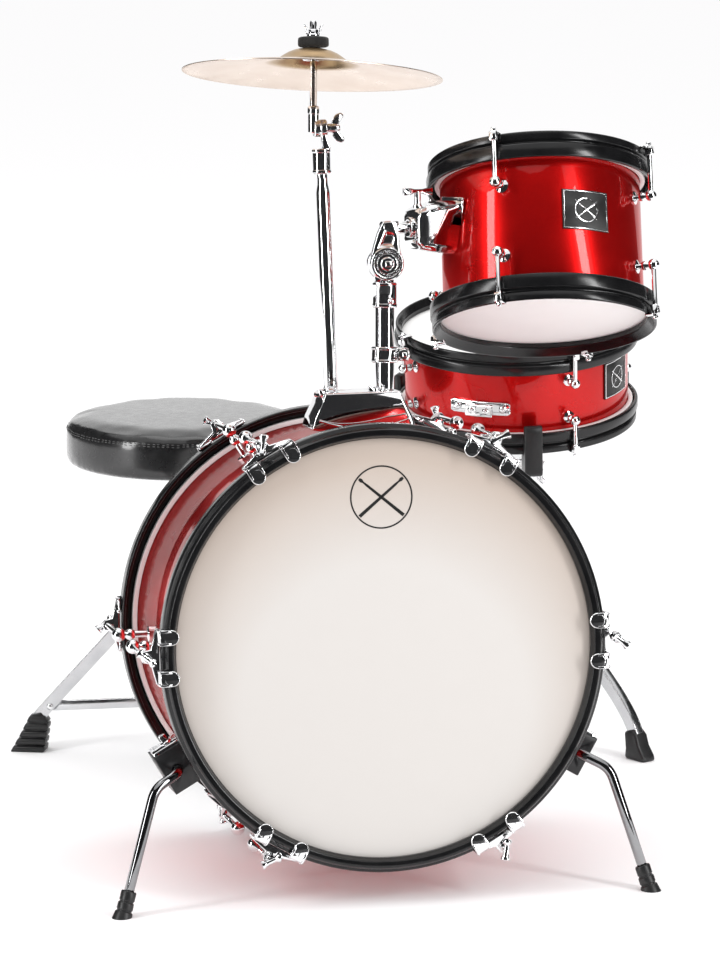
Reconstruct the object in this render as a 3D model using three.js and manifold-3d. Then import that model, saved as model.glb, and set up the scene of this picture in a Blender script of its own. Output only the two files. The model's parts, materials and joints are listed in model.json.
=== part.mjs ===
// A small acoustic drum kit: bass drum on two spurs, tom and cymbal held on its shell,
// snare drum on a tripod stand, round throne on a tripod, and a kick pedal.
// Millimetres. X is to the right seen from the audience, Y points to the drummer, Z is up.
import * as THREE from 'three';
import { mergeVertices } from 'three/addons/utils/BufferGeometryUtils.js';
import Module from 'manifold-3d';

const wasm = await Module();
wasm.setup();

const deg = Math.PI / 180;
const gap = 0.35;            // air left between pieces that meet
const rim = 36;              // sides of a drum-sized round
const fine = 16;             // sides of a tube or small round

// bass drum
const bassShellR = 203;
const bassHoopR = 220;
const bassDepth = 318;       // over both hoops
const bassInset = 14;        // hoop face to bearing edge
const bassTilt = 5.9;        // front raised, degrees
const bassHoopWidth = 28;
// tom and snare
const tomShellR = 101.5;
const tomHoopR = 115;
const tomDepth = 174;
const tomCentre = [204, -88, 611];
const tomPitch = 24;
const tomRoll = 3;
const snareShellR = 124;
const snareHoopR = 135;
const snareDepth = 114;
const snareCentre = [276, 350, 413];
const snarePitch = -8.1;
const snareRoll = -2.7;
const rimInset = 15;         // rim edge to bearing edge on tom and snare
const rimWidth = 27;
// posts on the bass drum
const housingX = 6;
const housingZ = 159;        // along the drum, from the back face
const postSpacing = 53;
const postSplay = 1.2;
const cymbalTubeR = 6.8;
const cymbalTubeTop = 257;   // above the shell
const cymbalPivot = 302;
const cymbalR = 130;
const cymbalPitch = 12.1;
const cymbalRoll = 4.6;
const cymbalSeat = 79.5;     // bell top above the tilter's pivot
const rodShift = -7;         // rod beside the tilter's discs
const tomTubeR = 9.5;
const tomTubeTop = 142;
const ratchetHeight = 166;
const ratchetR = 17;
const armHeight = 202;
const armR = 6.2;
const armYaw = 14.9;
const armLength = 66;
// spurs, in the drum's frame
const spurHole = [200, -116];
const spurElbow = [227, -130, 294];
const spurEnd = [261, -244, 306.4];
const spurR = 5;
// snare stand
const standAxis = [281.7, 367.2];
const standTurn = -61.2;
const standTubeTop = 250;
const basketHeight = 292.3;
const basketDrop = 122;      // snare centre above the basket pivot
const basketTurn = -95;
// throne
const throneAxis = [-107, 300];
const throneTurn = 162;
const throneTubeTop = 300;
const cushionR = 130;
const cushionBottom = 326;
const cushionTop = 383;
// kick pedal
const pedalX = 8;
const pedalAxle = [24, 126];
const pedalHeel = [206, 20];
const pedalToe = [30, 72];

const looks = {
  red: { color: 0xb00c1c, roughness: 0.15, metalness: 0.4 },
  black: { color: 0x141414, roughness: 0.3, metalness: 0.2 },
  chrome: { color: 0xd8dadd, roughness: 0.08, metalness: 1 },
  head: { color: 0xece6da, roughness: 0.55, metalness: 0 },
  brass: { color: 0xc9a867, roughness: 0.25, metalness: 1 },
  felt: { color: 0x1c1c1d, roughness: 0.95, metalness: 0 },
  rubber: { color: 0x1a1a1a, roughness: 0.8, metalness: 0 },
  vinyl: { color: 0x202124, roughness: 0.45, metalness: 0 },
};

function solid(geometry) {
  const bare = geometry.clone();
  bare.deleteAttribute('normal');
  bare.deleteAttribute('uv');
  const merged = mergeVertices(bare, 1e-3);
  const vertProperties = Float32Array.from(merged.attributes.position.array);
  const triVerts = Uint32Array.from(merged.index.array);
  return new wasm.Manifold(new wasm.Mesh({ numProp: 3, vertProperties, triVerts }));
}

function surface(body) {
  const mesh = body.getMesh();
  const geometry = new THREE.BufferGeometry();
  geometry.setAttribute('position', new THREE.BufferAttribute(Float32Array.from(mesh.vertProperties), 3));
  geometry.setIndex(Array.from(mesh.triVerts));
  geometry.computeVertexNormals();
  return geometry;
}

const join = (first, ...rest) => surface(rest.reduce((sum, next) => sum.add(solid(next)), solid(first)));
const cut = (first, ...rest) => surface(rest.reduce((sum, next) => sum.subtract(solid(next)), solid(first)));

// Turned about Z; the outline runs anticlockwise in (radius, height).
function turned(outline, sides = rim) {
  const points = [...outline, outline[0]].map(([r, z]) => new THREE.Vector2(r, z));
  return new THREE.LatheGeometry(points, sides).rotateX(Math.PI / 2);
}

const pipe = (inner, outer, low, high, sides = fine) =>
  turned([[inner, low], [outer, low], [outer, high], [inner, high]], sides);

function disc(radius, low, high, sides = fine) {
  return new THREE.CylinderGeometry(radius, radius, high - low, sides)
    .rotateX(Math.PI / 2).translate(0, 0, (low + high) / 2);
}

function block(low, high) {
  const size = high.map((value, k) => value - low[k]);
  const centre = high.map((value, k) => (value + low[k]) / 2);
  return new THREE.BoxGeometry(...size).translate(...centre);
}

function rod(from, to, radius, sides = 12) {
  const a = new THREE.Vector3(...from);
  const b = new THREE.Vector3(...to);
  const turn = new THREE.Quaternion().setFromUnitVectors(new THREE.Vector3(0, 1, 0), b.clone().sub(a).normalize());
  const middle = a.clone().add(b).multiplyScalar(0.5);
  return new THREE.CylinderGeometry(radius, radius, a.distanceTo(b), sides)
    .applyQuaternion(turn).translate(middle.x, middle.y, middle.z);
}

// A flat outline in the X-Z plane, given a width along Y.
function plate(outline, width, middle = 0) {
  const shape = new THREE.Shape(outline.map(([x, z]) => new THREE.Vector2(x, z)));
  return new THREE.ExtrudeGeometry(shape, { depth: width, bevelEnabled: false })
    .rotateX(Math.PI / 2).translate(0, middle + width / 2, 0);
}

// A band of even height along a line of points in the X-Z plane: up and down are its two edges.
function band(line, up, down) {
  const edge = (offset) => line.map(([x, z], k) => {
    const before = line[Math.max(k - 1, 0)];
    const after = line[Math.min(k + 1, line.length - 1)];
    const length = Math.hypot(after[0] - before[0], after[1] - before[1]);
    return [x - offset * (after[1] - before[1]) / length, z + offset * (after[0] - before[0]) / length];
  });
  return [...edge(-down), ...edge(up).reverse()];
}

const kit = new THREE.Group();
kit.name = 'drum_kit';

function frame(parent, position = [0, 0, 0], turn = [0, 0, 0], name = '') {
  const group = new THREE.Group();
  group.position.set(...position);
  group.rotation.set(...turn.map((angle) => angle * deg));
  group.name = name;
  parent.add(group);
  kit.updateMatrixWorld(true);
  return group;
}

function add(parent, name, look, geometry) {
  const mesh = new THREE.Mesh(geometry, new THREE.MeshStandardMaterial(looks[look]));
  mesh.name = name;
  parent.add(mesh);
  return mesh;
}

// Moves a geometry from one group's frame to another's.
function carried(geometry, from, to) {
  const matrix = to.matrixWorld.clone().invert().multiply(from.matrixWorld);
  return geometry.clone().applyMatrix4(matrix);
}

// The film lies on the bearing edge at height edge; up is +1 for the top head.
function drumHead(radius, edge, up) {
  const near = edge + gap * up;
  const far = edge + 1.4 * up;
  return disc(radius + 5.4, Math.min(near, far), Math.max(near, far), rim);
}

// Band round the drum with an inner lip that presses on the head; face is its outer edge.
function drumHoop(shellR, outer, face, inset, width, up) {
  const web = outer - 4;
  const lipLow = inset - 1.4 - 2 * gap;
  const lipHigh = lipLow - 5;
  const outline = [[web, width], [outer, width], [outer, 0], [web, 0],
    [web, lipHigh], [shellR + 2.6, lipHigh], [shellR + 2.6, lipLow], [web, lipLow]];
  const placed = outline.map(([r, depth]) => [r, face - up * depth]);
  return turned(up > 0 ? placed : placed.reverse());
}

// A drum along Z between the heights low and high: shell, two heads, two hoops.
function drum(parent, name, size) {
  const { shellR, hoopR, low, high, inset, width, wall, labels, holes = [], fitting } = size;
  const shell = pipe(shellR - wall, shellR, low + inset, high - inset, rim);
  const whole = fitting ? join(shell, fitting) : shell;
  add(parent, `${name}_shell`, 'red', holes.length ? cut(whole, ...holes) : whole);
  add(parent, `${name}_${labels[0]}_head`, 'head', drumHead(shellR, high - inset, 1));
  add(parent, `${name}_${labels[1]}_head`, 'head', drumHead(shellR, low + inset, -1));
  add(parent, `${name}_${labels[0]}_hoop`, 'black', drumHoop(shellR, hoopR, high, inset, width, 1));
  add(parent, `${name}_${labels[1]}_hoop`, 'black', drumHoop(shellR, hoopR, low, inset, width, -1));
}

// ---- bass drum: its frame has X right, Y up the drum, Z from the back face to the front
const bass = frame(kit, [0, 0, bassHoopR * Math.cos(bassTilt * deg)], [90 - bassTilt, 0, 0], 'bass_frame');
const cymbalPost = frame(frame(bass, [housingX - postSpacing / 2, bassShellR, housingZ], [0, 0, postSplay]),
  [0, 0, 0], [-90, 0, 0], 'cymbal_post_frame');
const tomPost = frame(frame(bass, [housingX + postSpacing / 2, bassShellR, housingZ], [0, 0, -postSplay]),
  [0, 0, 0], [-90, 0, 0], 'tom_post_frame');
const cymbalBore = disc(cymbalTubeR + gap, -90, 90);
const tomBore = disc(tomTubeR + gap, -90, 90);
drum(bass, 'bass', {
  shellR: bassShellR, hoopR: bassHoopR, low: 0, high: bassDepth, inset: bassInset,
  width: bassHoopWidth, wall: 6, labels: ['front', 'back'],
  holes: [carried(cymbalBore, cymbalPost, bass), carried(tomBore, tomPost, bass)],
});
const bassClear = disc(bassShellR + gap, 0, bassDepth, rim);

// ---- housing on top of the shell that both posts stand in
const housingOutline = [[housingX - 54, bassShellR - 12], [housingX + 54, bassShellR - 12],
  [housingX + 50, bassShellR + 10], [housingX + 37, bassShellR + 40], [housingX - 37, bassShellR + 40],
  [housingX - 50, bassShellR + 10]];
const housingShape = new THREE.Shape(housingOutline.map(([x, y]) => new THREE.Vector2(x, y)));
const housingBlock = new THREE.ExtrudeGeometry(housingShape, { depth: 72, bevelEnabled: false })
  .translate(0, 0, housingZ - 36);
add(bass, 'drum_mount_housing', 'chrome', cut(housingBlock, bassClear,
  carried(cymbalBore, cymbalPost, bass), carried(tomBore, tomPost, bass)));

// ---- spurs: a bent rod turning in a block on the shell
function spur(side, label) {
  const turn = Math.atan2(spurHole[1], spurHole[0]);
  const reach = Math.hypot(...spurHole);
  const bracketFrame = frame(bass, [0, 0, 0], [0, 0, side > 0 ? turn / deg : 180 - turn / deg]);
  const hole = disc(spurR + gap, 200, 290).translate(reach, 0, 0);
  const bracket = cut(block([195, -21, 216], [reach + 14, 21, 264]), hole);
  add(bracketFrame, `spur_bracket_${label}`, 'black',
    cut(bracket, carried(bassClear, bass, bracketFrame)));
  const pivot = frame(bass, [side * spurHole[0], spurHole[1], 0], [0, 0, 0], `spur_${label}_frame`);
  const local = ([x, y, z]) => [side * (x - spurHole[0]), y - spurHole[1], z];
  const knee = local([spurHole[0], spurHole[1], 281]);
  const elbow = local(spurElbow);
  const end = local(spurEnd);
  add(pivot, `spur_${label}`, 'chrome', join(rod([0, 0, 222], knee, spurR), rod(knee, elbow, spurR),
    rod(elbow, end, spurR), new THREE.SphereGeometry(spurR, 8, 5).translate(...knee),
    new THREE.SphereGeometry(spurR, 8, 5).translate(...elbow)));
  return { pivot, elbow, end };
}

// The rubber tip is cut level with the floor.
function spurFoot(side, label, { pivot, elbow, end }) {
  const a = new THREE.Vector3(...elbow);
  const b = new THREE.Vector3(...end);
  const along = b.clone().sub(a).normalize();
  const at = (distance) => b.clone().addScaledVector(along, distance).toArray();
  const bore = rod(at(-60), at(gap), spurR + gap);
  const boot = join(rod(at(-17), at(30), 8), rod(at(5), at(30), 10.5));
  const floor = carried(block([-600, -900, -100], [600, 600, 0]), kit, pivot);
  add(pivot, `spur_foot_${label}`, 'rubber', cut(boot, bore, floor));
}
for (const [side, label] of [[-1, 'left'], [1, 'right']]) {
  spurFoot(side, label, spur(side, label));
}

// ---- cymbal and its post; X right, Y to the drummer, Z up the post
add(cymbalPost, 'cymbal_tube', 'chrome', pipe(cymbalTubeR - 1.5, cymbalTubeR, -72, cymbalTubeTop - gap));
const tilter = frame(cymbalPost, [0, 0, cymbalPivot], [0, 3, 0], 'cymbal_tilt_frame');
const ear = (from, to, radius) => disc(radius, from, to).rotateY(Math.PI / 2);
add(cymbalPost, 'cymbal_tilter_base', 'chrome', join(disc(9.5, cymbalTubeTop, cymbalTubeTop + 25),
  block([0.6, -6, cymbalTubeTop + 24], [6, 6, cymbalPivot]),
  carried(join(ear(0.4, 6.4, 9), ear(6.2, 12, 4.5)), tilter, cymbalPost)));
const rodFrame = frame(tilter, [0, 0, 0], [-4.2, 0, 0], 'cymbal_rod_frame');
const rodTop = cymbalSeat + 28;
const beside = (geometry) => geometry.translate(rodShift, 0, 0);
add(rodFrame, 'cymbal_rod', 'chrome', join(ear(-7, 0, 9), beside(disc(5.4, -4, 22)),
  beside(disc(3.6, 20, rodTop)), beside(disc(11, cymbalSeat - 12, cymbalSeat - 9)),
  beside(disc(5.2, cymbalSeat - 10, cymbalSeat - 3))));
const hole = new THREE.Vector3(rodShift, 0, cymbalSeat).applyMatrix4(rodFrame.matrixWorld);
const disk = frame(kit, hole.toArray(), [-cymbalPitch, cymbalRoll, 0], 'cymbal_frame');
const bow = [[7, 0], [20, -2.2], [33, -10], [42, -14.5], [90, -20], [cymbalR, -26]];
const bowUnder = bow.map(([r, z]) => [r, z - 1.3]).reverse();
add(disk, 'cymbal', 'brass', turned([...bow, ...bowUnder].reverse()));
const nutFrame = frame(rodFrame, [rodShift, 0, cymbalSeat], [0, 0, 0], 'cymbal_nut_frame');
add(nutFrame, 'cymbal_felt', 'felt', pipe(4, 15.5, 1.4, 11.4, 20));
add(nutFrame, 'cymbal_wing_nut', 'chrome', cut(join(disc(6, 11.8, 19), block([-9.5, -1.4, 13], [9.5, 1.4, 24])),
  disc(3.6 + gap, 5, 40)));

// ---- tom holder
add(tomPost, 'tom_tube', 'chrome', pipe(tomTubeR - 1.6, tomTubeR, -72, tomTubeTop));
add(tomPost, 'tom_memory_lock', 'chrome', cut(join(disc(14, 67, 83), block([8, -7, 68], [24, 7, 82])),
  disc(tomTubeR + gap, 60, 90)));
const ratchet = frame(tomPost, [0, 0, ratchetHeight], [0, 0, 0], 'tom_ratchet_frame');
const lens = (from, to, radius) => disc(radius, -to, -from, 20).rotateX(Math.PI / 2);
add(tomPost, 'tom_ratchet_base', 'chrome', cut(join(disc(12.5, 122, 147), block([-9, gap, 146], [9, 13, 164]),
  lens(gap, 13, ratchetR).translate(0, 0, ratchetHeight)), disc(tomTubeR + gap, 100, tomTubeTop + 1)));
const armFrame = frame(ratchet, [-3, -7, armHeight - ratchetHeight], [0, 0, armYaw], 'tom_arm_frame');
const armRod = (radius, from, to) => disc(radius, from, to).rotateY(Math.PI / 2);
add(ratchet, 'tom_ratchet_arm', 'chrome', join(lens(-14, 0, ratchetR), block([-12, -13, 10], [8, -1.5, 42]),
  carried(armRod(armR, 0, armLength), armFrame, ratchet)));

// ---- tom
const tom = frame(kit, tomCentre, [-tomPitch, tomRoll, 0], 'tom_frame');
drum(tom, 'tom', {
  shellR: tomShellR, hoopR: tomHoopR, low: -tomDepth / 2, high: tomDepth / 2,
  inset: rimInset, width: rimWidth, wall: 5, labels: ['top', 'bottom'],
});
const tomClear = disc(tomShellR + gap, -80, 80, rim);
const clampBody = plate([[30, -24], [60, -27], [90, -27], [90, 27], [60, 27], [30, 16]], 40);
add(tom, 'tom_bracket', 'chrome', cut(carried(clampBody, armFrame, tom), tomClear,
  carried(armRod(armR + gap, -10, armLength + 2), armFrame, tom)));

// ---- snare drum
const snare = frame(kit, snareCentre, [-snarePitch, snareRoll, 0], 'snare_frame');
const strainer = frame(snare, [0, 0, 0], [0, 0, 78], 'strainer_frame');
const strainerBody = cut(block([120, -12, -26], [134, 12, 26]), block([127.3, -4.4, -8], [140, 4.4, 30]));
drum(snare, 'snare', {
  shellR: snareShellR, hoopR: snareHoopR, low: -snareDepth / 2, high: snareDepth / 2,
  inset: rimInset, width: rimWidth, wall: 5, labels: ['batter', 'wire_side'],
  fitting: carried(strainerBody, strainer, snare),
});
const throwFrame = frame(strainer, [131.5, 0, 6], [0, 0, 0], 'strainer_lever_frame');
add(throwFrame, 'strainer_lever', 'chrome', plate([[-2, -3], [2, -3], [5, 8], [6, 22], [2.5, 22], [-2, 8]], 8));

// ---- folding tripod: legs on a sliding collar, struts from a hub at the tube's foot
function tripod(parent, name, size) {
  const { tubeR, tubeLow, tubeTop, collarAt, hubAt, joint, line, foot } = size;
  const hubPivot = 20;
  const slot = 5.4;
  const hub = disc(25, hubAt - 8, hubAt + 8, 18);
  const tubeBore = disc(tubeR - 1.8, tubeLow + 12, tubeTop + 5);
  const slots = [0, 120, 240].map((turn) => block([14, -slot / 2, hubAt - 20], [40, slot / 2, hubAt + 20])
    .rotateZ(turn * deg));
  add(parent, `${name}_base_tube`, 'chrome', cut(join(disc(tubeR, tubeLow, tubeTop), hub), tubeBore, ...slots));
  const ears = [0, 120, 240].map((turn) => block([12, -2.2, collarAt - 3], [26.5, 2.2, collarAt + 3])
    .rotateZ(turn * deg));
  add(parent, `${name}_collar`, 'chrome', cut(join(disc(tubeR + 3.5, collarAt - 11, collarAt + 11), ...ears),
    disc(tubeR + gap, 0, 600)));
  for (const k of [0, 1, 2]) {
    const spoke = frame(parent, [0, 0, 0], [0, 0, 120 * k]);
    const legPivot = frame(spoke, [24, 0, collarAt], [0, 0, 0], `${name}_leg_${k + 1}_frame`);
    const legLine = line.map(([r, z]) => [r - 24, z - collarAt]);
    const outer = plate(band(legLine, 7, 7), 10.4);
    const inner = plate(band(legLine, 4.6, 9), slot);
    const tread = plate(foot.map(([r, z]) => [r - 24, z - collarAt]), 26);
    add(legPivot, `${name}_leg_${k + 1}`, 'chrome', join(cut(outer, inner), tread));
    const strutPivot = frame(spoke, [hubPivot, 0, hubAt], [0, 0, 0], `${name}_strut_${k + 1}_frame`);
    const strutLine = [[-2, 0], [joint[0] - hubPivot, joint[1] - hubAt]];
    add(strutPivot, `${name}_strut_${k + 1}`, 'chrome', plate(band(strutLine, 4, 4), 4));
  }
}

// ---- snare stand
const stand = frame(kit, [...standAxis, 0], [0, 0, standTurn], 'stand_frame');
tripod(stand, 'stand', {
  tubeR: 10, tubeLow: 42, tubeTop: standTubeTop, collarAt: 165, hubAt: 66, joint: [113, 92],
  line: [[20, 167], [75, 137], [130, 99], [172, 64], [196, 38], [203, 22]],
  foot: [[191, 0], [224, 0], [214, 26], [203, 34], [192, 26]],
});
const basket = frame(kit, [...standAxis, basketHeight], [-snarePitch, snareRoll, 0], 'basket_frame');
add(stand, 'stand_post', 'chrome', join(disc(7.5, 110, basketHeight - 20),
  disc(11, basketHeight - 26, basketHeight - 16)));
const hubTurn = frame(basket, [0, 0, 0], [0, 0, basketTurn]);
const hubSlots = [0, 120, 240].map((turn) => block([12, -5, 3], [40, 5, 40]).rotateZ(turn * deg));
add(hubTurn, 'basket_hub', 'chrome', cut(disc(24, -9, 15, 18), ...hubSlots));
const hoopLow = basketDrop - snareDepth / 2;
for (const k of [0, 1, 2]) {
  const spoke = frame(hubTurn, [0, 0, 0], [0, 0, 120 * k]);
  const armPivot = frame(spoke, [18, 0, 9], [0, 0, 0], `basket_arm_${k + 1}_frame`);
  const reach = snareHoopR - 18;
  const armLine = [[-2, -0.5], [reach - 24, 31], [reach, 36]];
  const ledge = block([reach - 18, -10, 31], [reach + 12, 10, hoopLow - 9 - gap]);
  const tip = block([reach + 1, -10, 40], [reach + 12, 10, hoopLow - 9 + 39]);
  add(armPivot, `basket_arm_${k + 1}`, 'rubber', join(plate(band(armLine, 4, 4), 8), ledge, tip));
}

// ---- throne
const throne = frame(kit, [...throneAxis, 0], [0, 0, throneTurn], 'throne_frame');
tripod(throne, 'throne', {
  tubeR: 11, tubeLow: 46, tubeTop: throneTubeTop, collarAt: 194, hubAt: 60, joint: [150, 51],
  line: [[21.5, 196.8], [152, 52], [165, 37]],
  foot: [[156, 0], [194, 0], [184, 18], [172, 42], [160, 44], [151, 34]],
});
add(throne, 'throne_post', 'chrome', join(disc(8.8, 150, cushionBottom - 4),
  disc(48, cushionBottom - 4.5, cushionBottom - gap, 24), disc(13, cushionBottom - 22, cushionBottom - 4)));
const cushionOutline = [[0, cushionBottom], [cushionR - 6, cushionBottom], [cushionR, cushionBottom + 8],
  [cushionR, cushionTop - 12], [cushionR - 8, cushionTop - 2], [0, cushionTop]];
add(throne, 'throne_cushion', 'vinyl',
  new THREE.LatheGeometry(cushionOutline.map(([r, z]) => new THREE.Vector2(r, z)), rim).rotateX(Math.PI / 2));

// ---- kick pedal; the footboard turns at the heel, the beater on the axle
const pedal = frame(kit, [pedalX, 0, 0], [0, 0, 0], 'pedal_frame');
const axleRod = (radius, from, to) => disc(radius, from, to, 14).rotateY(Math.PI / 2);
const [axleY, axleZ] = pedalAxle;
const post = (x) => block([x - 4, axleY - 8, 3], [x + 4, axleY + 8, axleZ + 9]);
const axleHole = axleRod(4.4, -60, 60).translate(0, axleY, axleZ);
add(pedal, 'pedal_base', 'chrome', cut(join(block([-38, -16, 0], [38, axleY + 9, 4]),
  block([-30, axleY, 0], [30, pedalHeel[0] + 14, 4]), post(-34), post(34),
  block([-30, pedalHeel[0] - 6, 2], [-25, pedalHeel[0] + 6, pedalHeel[1] + 6]),
  block([25, pedalHeel[0] - 6, 2], [30, pedalHeel[0] + 6, pedalHeel[1] + 6])), axleHole,
axleRod(3.4, -60, 60).translate(0, pedalHeel[0], pedalHeel[1])));
const heel = frame(pedal, [0, ...pedalHeel], [0, 0, 0], 'footboard_frame');
const boardRun = pedalToe[0] - pedalHeel[0];
const boardRise = pedalToe[1] - pedalHeel[1];
const boardTilt = Math.atan2(boardRise, -boardRun);
const boardLength = Math.hypot(boardRun, boardRise);
add(heel, 'pedal_footboard', 'chrome', join(
  block([-24.5, -boardLength, -2], [24.5, 8, 2.4]).rotateX(-boardTilt), axleRod(3, -24.6, 24.6)));
const beater = frame(pedal, [0, axleY, axleZ], [-42, 0, 0], 'beater_frame');
add(beater, 'pedal_beater', 'chrome', join(axleRod(4, -37, 37), axleRod(12, -9, 9),
  disc(3, 6, 104), axleRod(17, -19, 19).translate(0, 0, 117)));

// ---- origin at the middle of the floor under the kit
const box = new THREE.Box3().setFromObject(kit, true);
kit.position.set(-(box.min.x + box.max.x) / 2, -(box.min.y + box.max.y) / 2, -box.min.z);
kit.updateMatrixWorld(true);

export default kit;
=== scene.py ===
import json
import math

import bpy
from mathutils import Matrix, Vector

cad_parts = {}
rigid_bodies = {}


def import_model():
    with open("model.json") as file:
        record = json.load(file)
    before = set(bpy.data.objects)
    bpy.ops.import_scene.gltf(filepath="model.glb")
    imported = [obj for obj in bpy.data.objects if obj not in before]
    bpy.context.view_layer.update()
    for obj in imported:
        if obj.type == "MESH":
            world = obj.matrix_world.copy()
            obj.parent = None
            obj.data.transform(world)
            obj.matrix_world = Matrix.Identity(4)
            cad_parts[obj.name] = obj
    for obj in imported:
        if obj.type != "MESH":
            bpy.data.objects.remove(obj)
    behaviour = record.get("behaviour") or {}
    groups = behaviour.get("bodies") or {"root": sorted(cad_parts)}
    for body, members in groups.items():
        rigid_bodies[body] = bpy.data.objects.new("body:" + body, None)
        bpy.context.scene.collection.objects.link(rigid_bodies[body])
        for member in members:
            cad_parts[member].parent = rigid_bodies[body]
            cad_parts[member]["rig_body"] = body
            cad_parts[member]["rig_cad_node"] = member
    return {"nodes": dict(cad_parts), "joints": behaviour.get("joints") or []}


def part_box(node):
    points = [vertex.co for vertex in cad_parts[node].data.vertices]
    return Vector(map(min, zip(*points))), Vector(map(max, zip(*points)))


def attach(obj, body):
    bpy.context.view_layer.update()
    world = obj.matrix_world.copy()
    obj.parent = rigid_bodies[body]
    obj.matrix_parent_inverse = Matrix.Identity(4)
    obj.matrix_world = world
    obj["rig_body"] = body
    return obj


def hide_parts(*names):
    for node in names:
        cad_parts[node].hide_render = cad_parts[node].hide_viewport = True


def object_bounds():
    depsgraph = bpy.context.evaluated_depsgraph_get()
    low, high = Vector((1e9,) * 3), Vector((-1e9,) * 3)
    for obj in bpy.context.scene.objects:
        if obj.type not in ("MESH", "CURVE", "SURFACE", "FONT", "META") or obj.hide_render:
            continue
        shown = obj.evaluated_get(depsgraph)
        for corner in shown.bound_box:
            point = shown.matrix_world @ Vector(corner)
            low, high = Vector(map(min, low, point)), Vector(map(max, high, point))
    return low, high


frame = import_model()
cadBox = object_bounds()
joints = {joint["name"]: joint for joint in frame["joints"]}
mm = 0.001
fullTurn = 2 * math.pi
print("frame loaded:", len(frame["nodes"]), "nodes")


# ---- places, all taken from the frame
def frameAt(origin, up, across=(1, 0, 0)):
    zAxis = Vector(up).normalized()
    xAxis = Vector(across) - Vector(across).dot(zAxis) * zAxis
    xAxis.normalize()
    yAxis = zAxis.cross(xAxis)
    placed = Matrix((xAxis, yAxis, zAxis)).transposed().to_4x4()
    placed.translation = Vector(origin)
    return placed


def pivotOf(joint):
    return Vector(joints[joint]["pos_m"])


def axisOf(joint):
    return Vector(joints[joint]["axis"])


def middleOf(node):
    low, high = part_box(node)
    return (low + high) / 2


def turned(angle, axis="Z"):
    return Matrix.Rotation(math.radians(angle), 4, axis)


def moved(x=0.0, y=0.0, z=0.0):  # millimetres inside a frame that is in metres
    return Matrix.Translation(Vector((x, y, z)) * mm)


# ---- the hand tools: every piece is drawn in millimetres, then seated in metres
def deselectAll():
    if bpy.context.mode != "OBJECT":
        bpy.ops.object.mode_set(mode="OBJECT")
    bpy.ops.object.select_all(action="DESELECT")


def pick(piece, *others):
    deselectAll()
    for one in (piece, *others):
        one.select_set(True)
    bpy.context.view_layer.objects.active = piece


def edit(piece):
    pick(piece)
    bpy.ops.object.mode_set(mode="EDIT")
    bpy.ops.mesh.select_all(action="SELECT")


def drawLine(name, points):
    deselectAll()
    bpy.ops.mesh.primitive_circle_add(vertices=3, radius=1)
    piece = bpy.context.object
    piece.name = name
    bpy.ops.object.mode_set(mode="EDIT")
    bpy.ops.mesh.select_all(action="SELECT")
    bpy.ops.mesh.merge(type="CENTER")
    here = Vector(points[0])
    bpy.ops.transform.translate(value=here)
    for point in points[1:]:
        step = Vector(point) - here
        bpy.ops.mesh.extrude_region_move(TRANSFORM_OT_translate={"value": step})
        here = Vector(point)
    return piece


def cleaned():  # in edit mode: merge what meets, turn the faces outwards
    bpy.ops.mesh.select_all(action="SELECT")
    bpy.ops.mesh.remove_doubles(threshold=0.001)
    bpy.ops.mesh.normals_make_consistent(inside=False)
    bpy.ops.object.mode_set(mode="OBJECT")


def eased(piece, width=0.4, segments=3, angle=32):
    pick(piece)
    if width:
        bevel = piece.modifiers.new("edges", "BEVEL")
        bevel.width = width
        bevel.segments = segments
        bevel.limit_method = "ANGLE"
        bevel.angle_limit = math.radians(angle)
        bevel.harden_normals = True
        bpy.ops.object.modifier_apply(modifier="edges")
    bpy.ops.object.shade_smooth_by_angle(angle=math.radians(angle))
    return piece


def spun(name, profile, sides=48, edge=0.4):
    # profile in radius and height; it starts and ends on the axis, or closes on itself
    points = [(radius, 0, height) for radius, height in profile]
    if profile[0][0] > 0:
        points.append(points[0])
    piece = drawLine(name, points)
    bpy.ops.mesh.select_all(action="SELECT")
    bpy.ops.mesh.remove_doubles(threshold=0.001)
    bpy.ops.mesh.spin(steps=sides, angle=fullTurn, center=(0, 0, 0), axis=(0, 0, 1))
    cleaned()
    return eased(piece, edge)


def slab(name, outline, low, high, edge=0.4, segments=3):
    # outline in X and Z, given a width from low to high along Y
    piece = drawLine(name, [(x, low, z) for x, z in (*outline, outline[0])])
    bpy.ops.mesh.select_all(action="SELECT")
    bpy.ops.mesh.remove_doubles(threshold=0.001)
    bpy.ops.mesh.select_all(action="SELECT")
    bpy.ops.mesh.edge_face_add()
    bpy.ops.mesh.extrude_region_move(TRANSFORM_OT_translate={"value": (0, high - low, 0)})
    cleaned()
    return eased(piece, edge, segments)


def bentRod(name, points, radius, sides=20, edge=0.4):
    piece = drawLine(name, points)
    pick(piece)
    bpy.ops.object.convert(target="CURVE")
    piece = bpy.context.object
    piece.data.bevel_depth = radius
    piece.data.bevel_resolution = max(sides // 4 - 1, 1)
    piece.data.use_fill_caps = True
    bpy.ops.object.convert(target="MESH")
    piece = bpy.context.object
    edit(piece)
    cleaned()
    return eased(piece, edge, 2, 50)


def softCorners(points, reach, steps=6):
    # the same line with each inner corner rounded
    line = [Vector(point) for point in points]
    soft = [line[0]]
    for before, corner, after in zip(line, line[1:], line[2:]):
        start = corner + (before - corner).normalized() * reach
        end = corner + (after - corner).normalized() * reach
        for k in range(steps + 1):
            t = k / steps
            soft.append(start.lerp(corner, t).lerp(corner.lerp(end, t), t))
    return [tuple(point) for point in (*soft, line[-1])]


def arc(centre, radius, start, end, steps):
    angles = [math.radians(start + (end - start) * k / steps) for k in range(steps + 1)]
    return [(centre[0] + radius * math.cos(a), centre[1] + radius * math.sin(a)) for a in angles]


def copyOf(piece, name):
    pick(piece)
    bpy.ops.object.duplicate(linked=False)
    bpy.context.object.name = name
    return bpy.context.object


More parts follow.
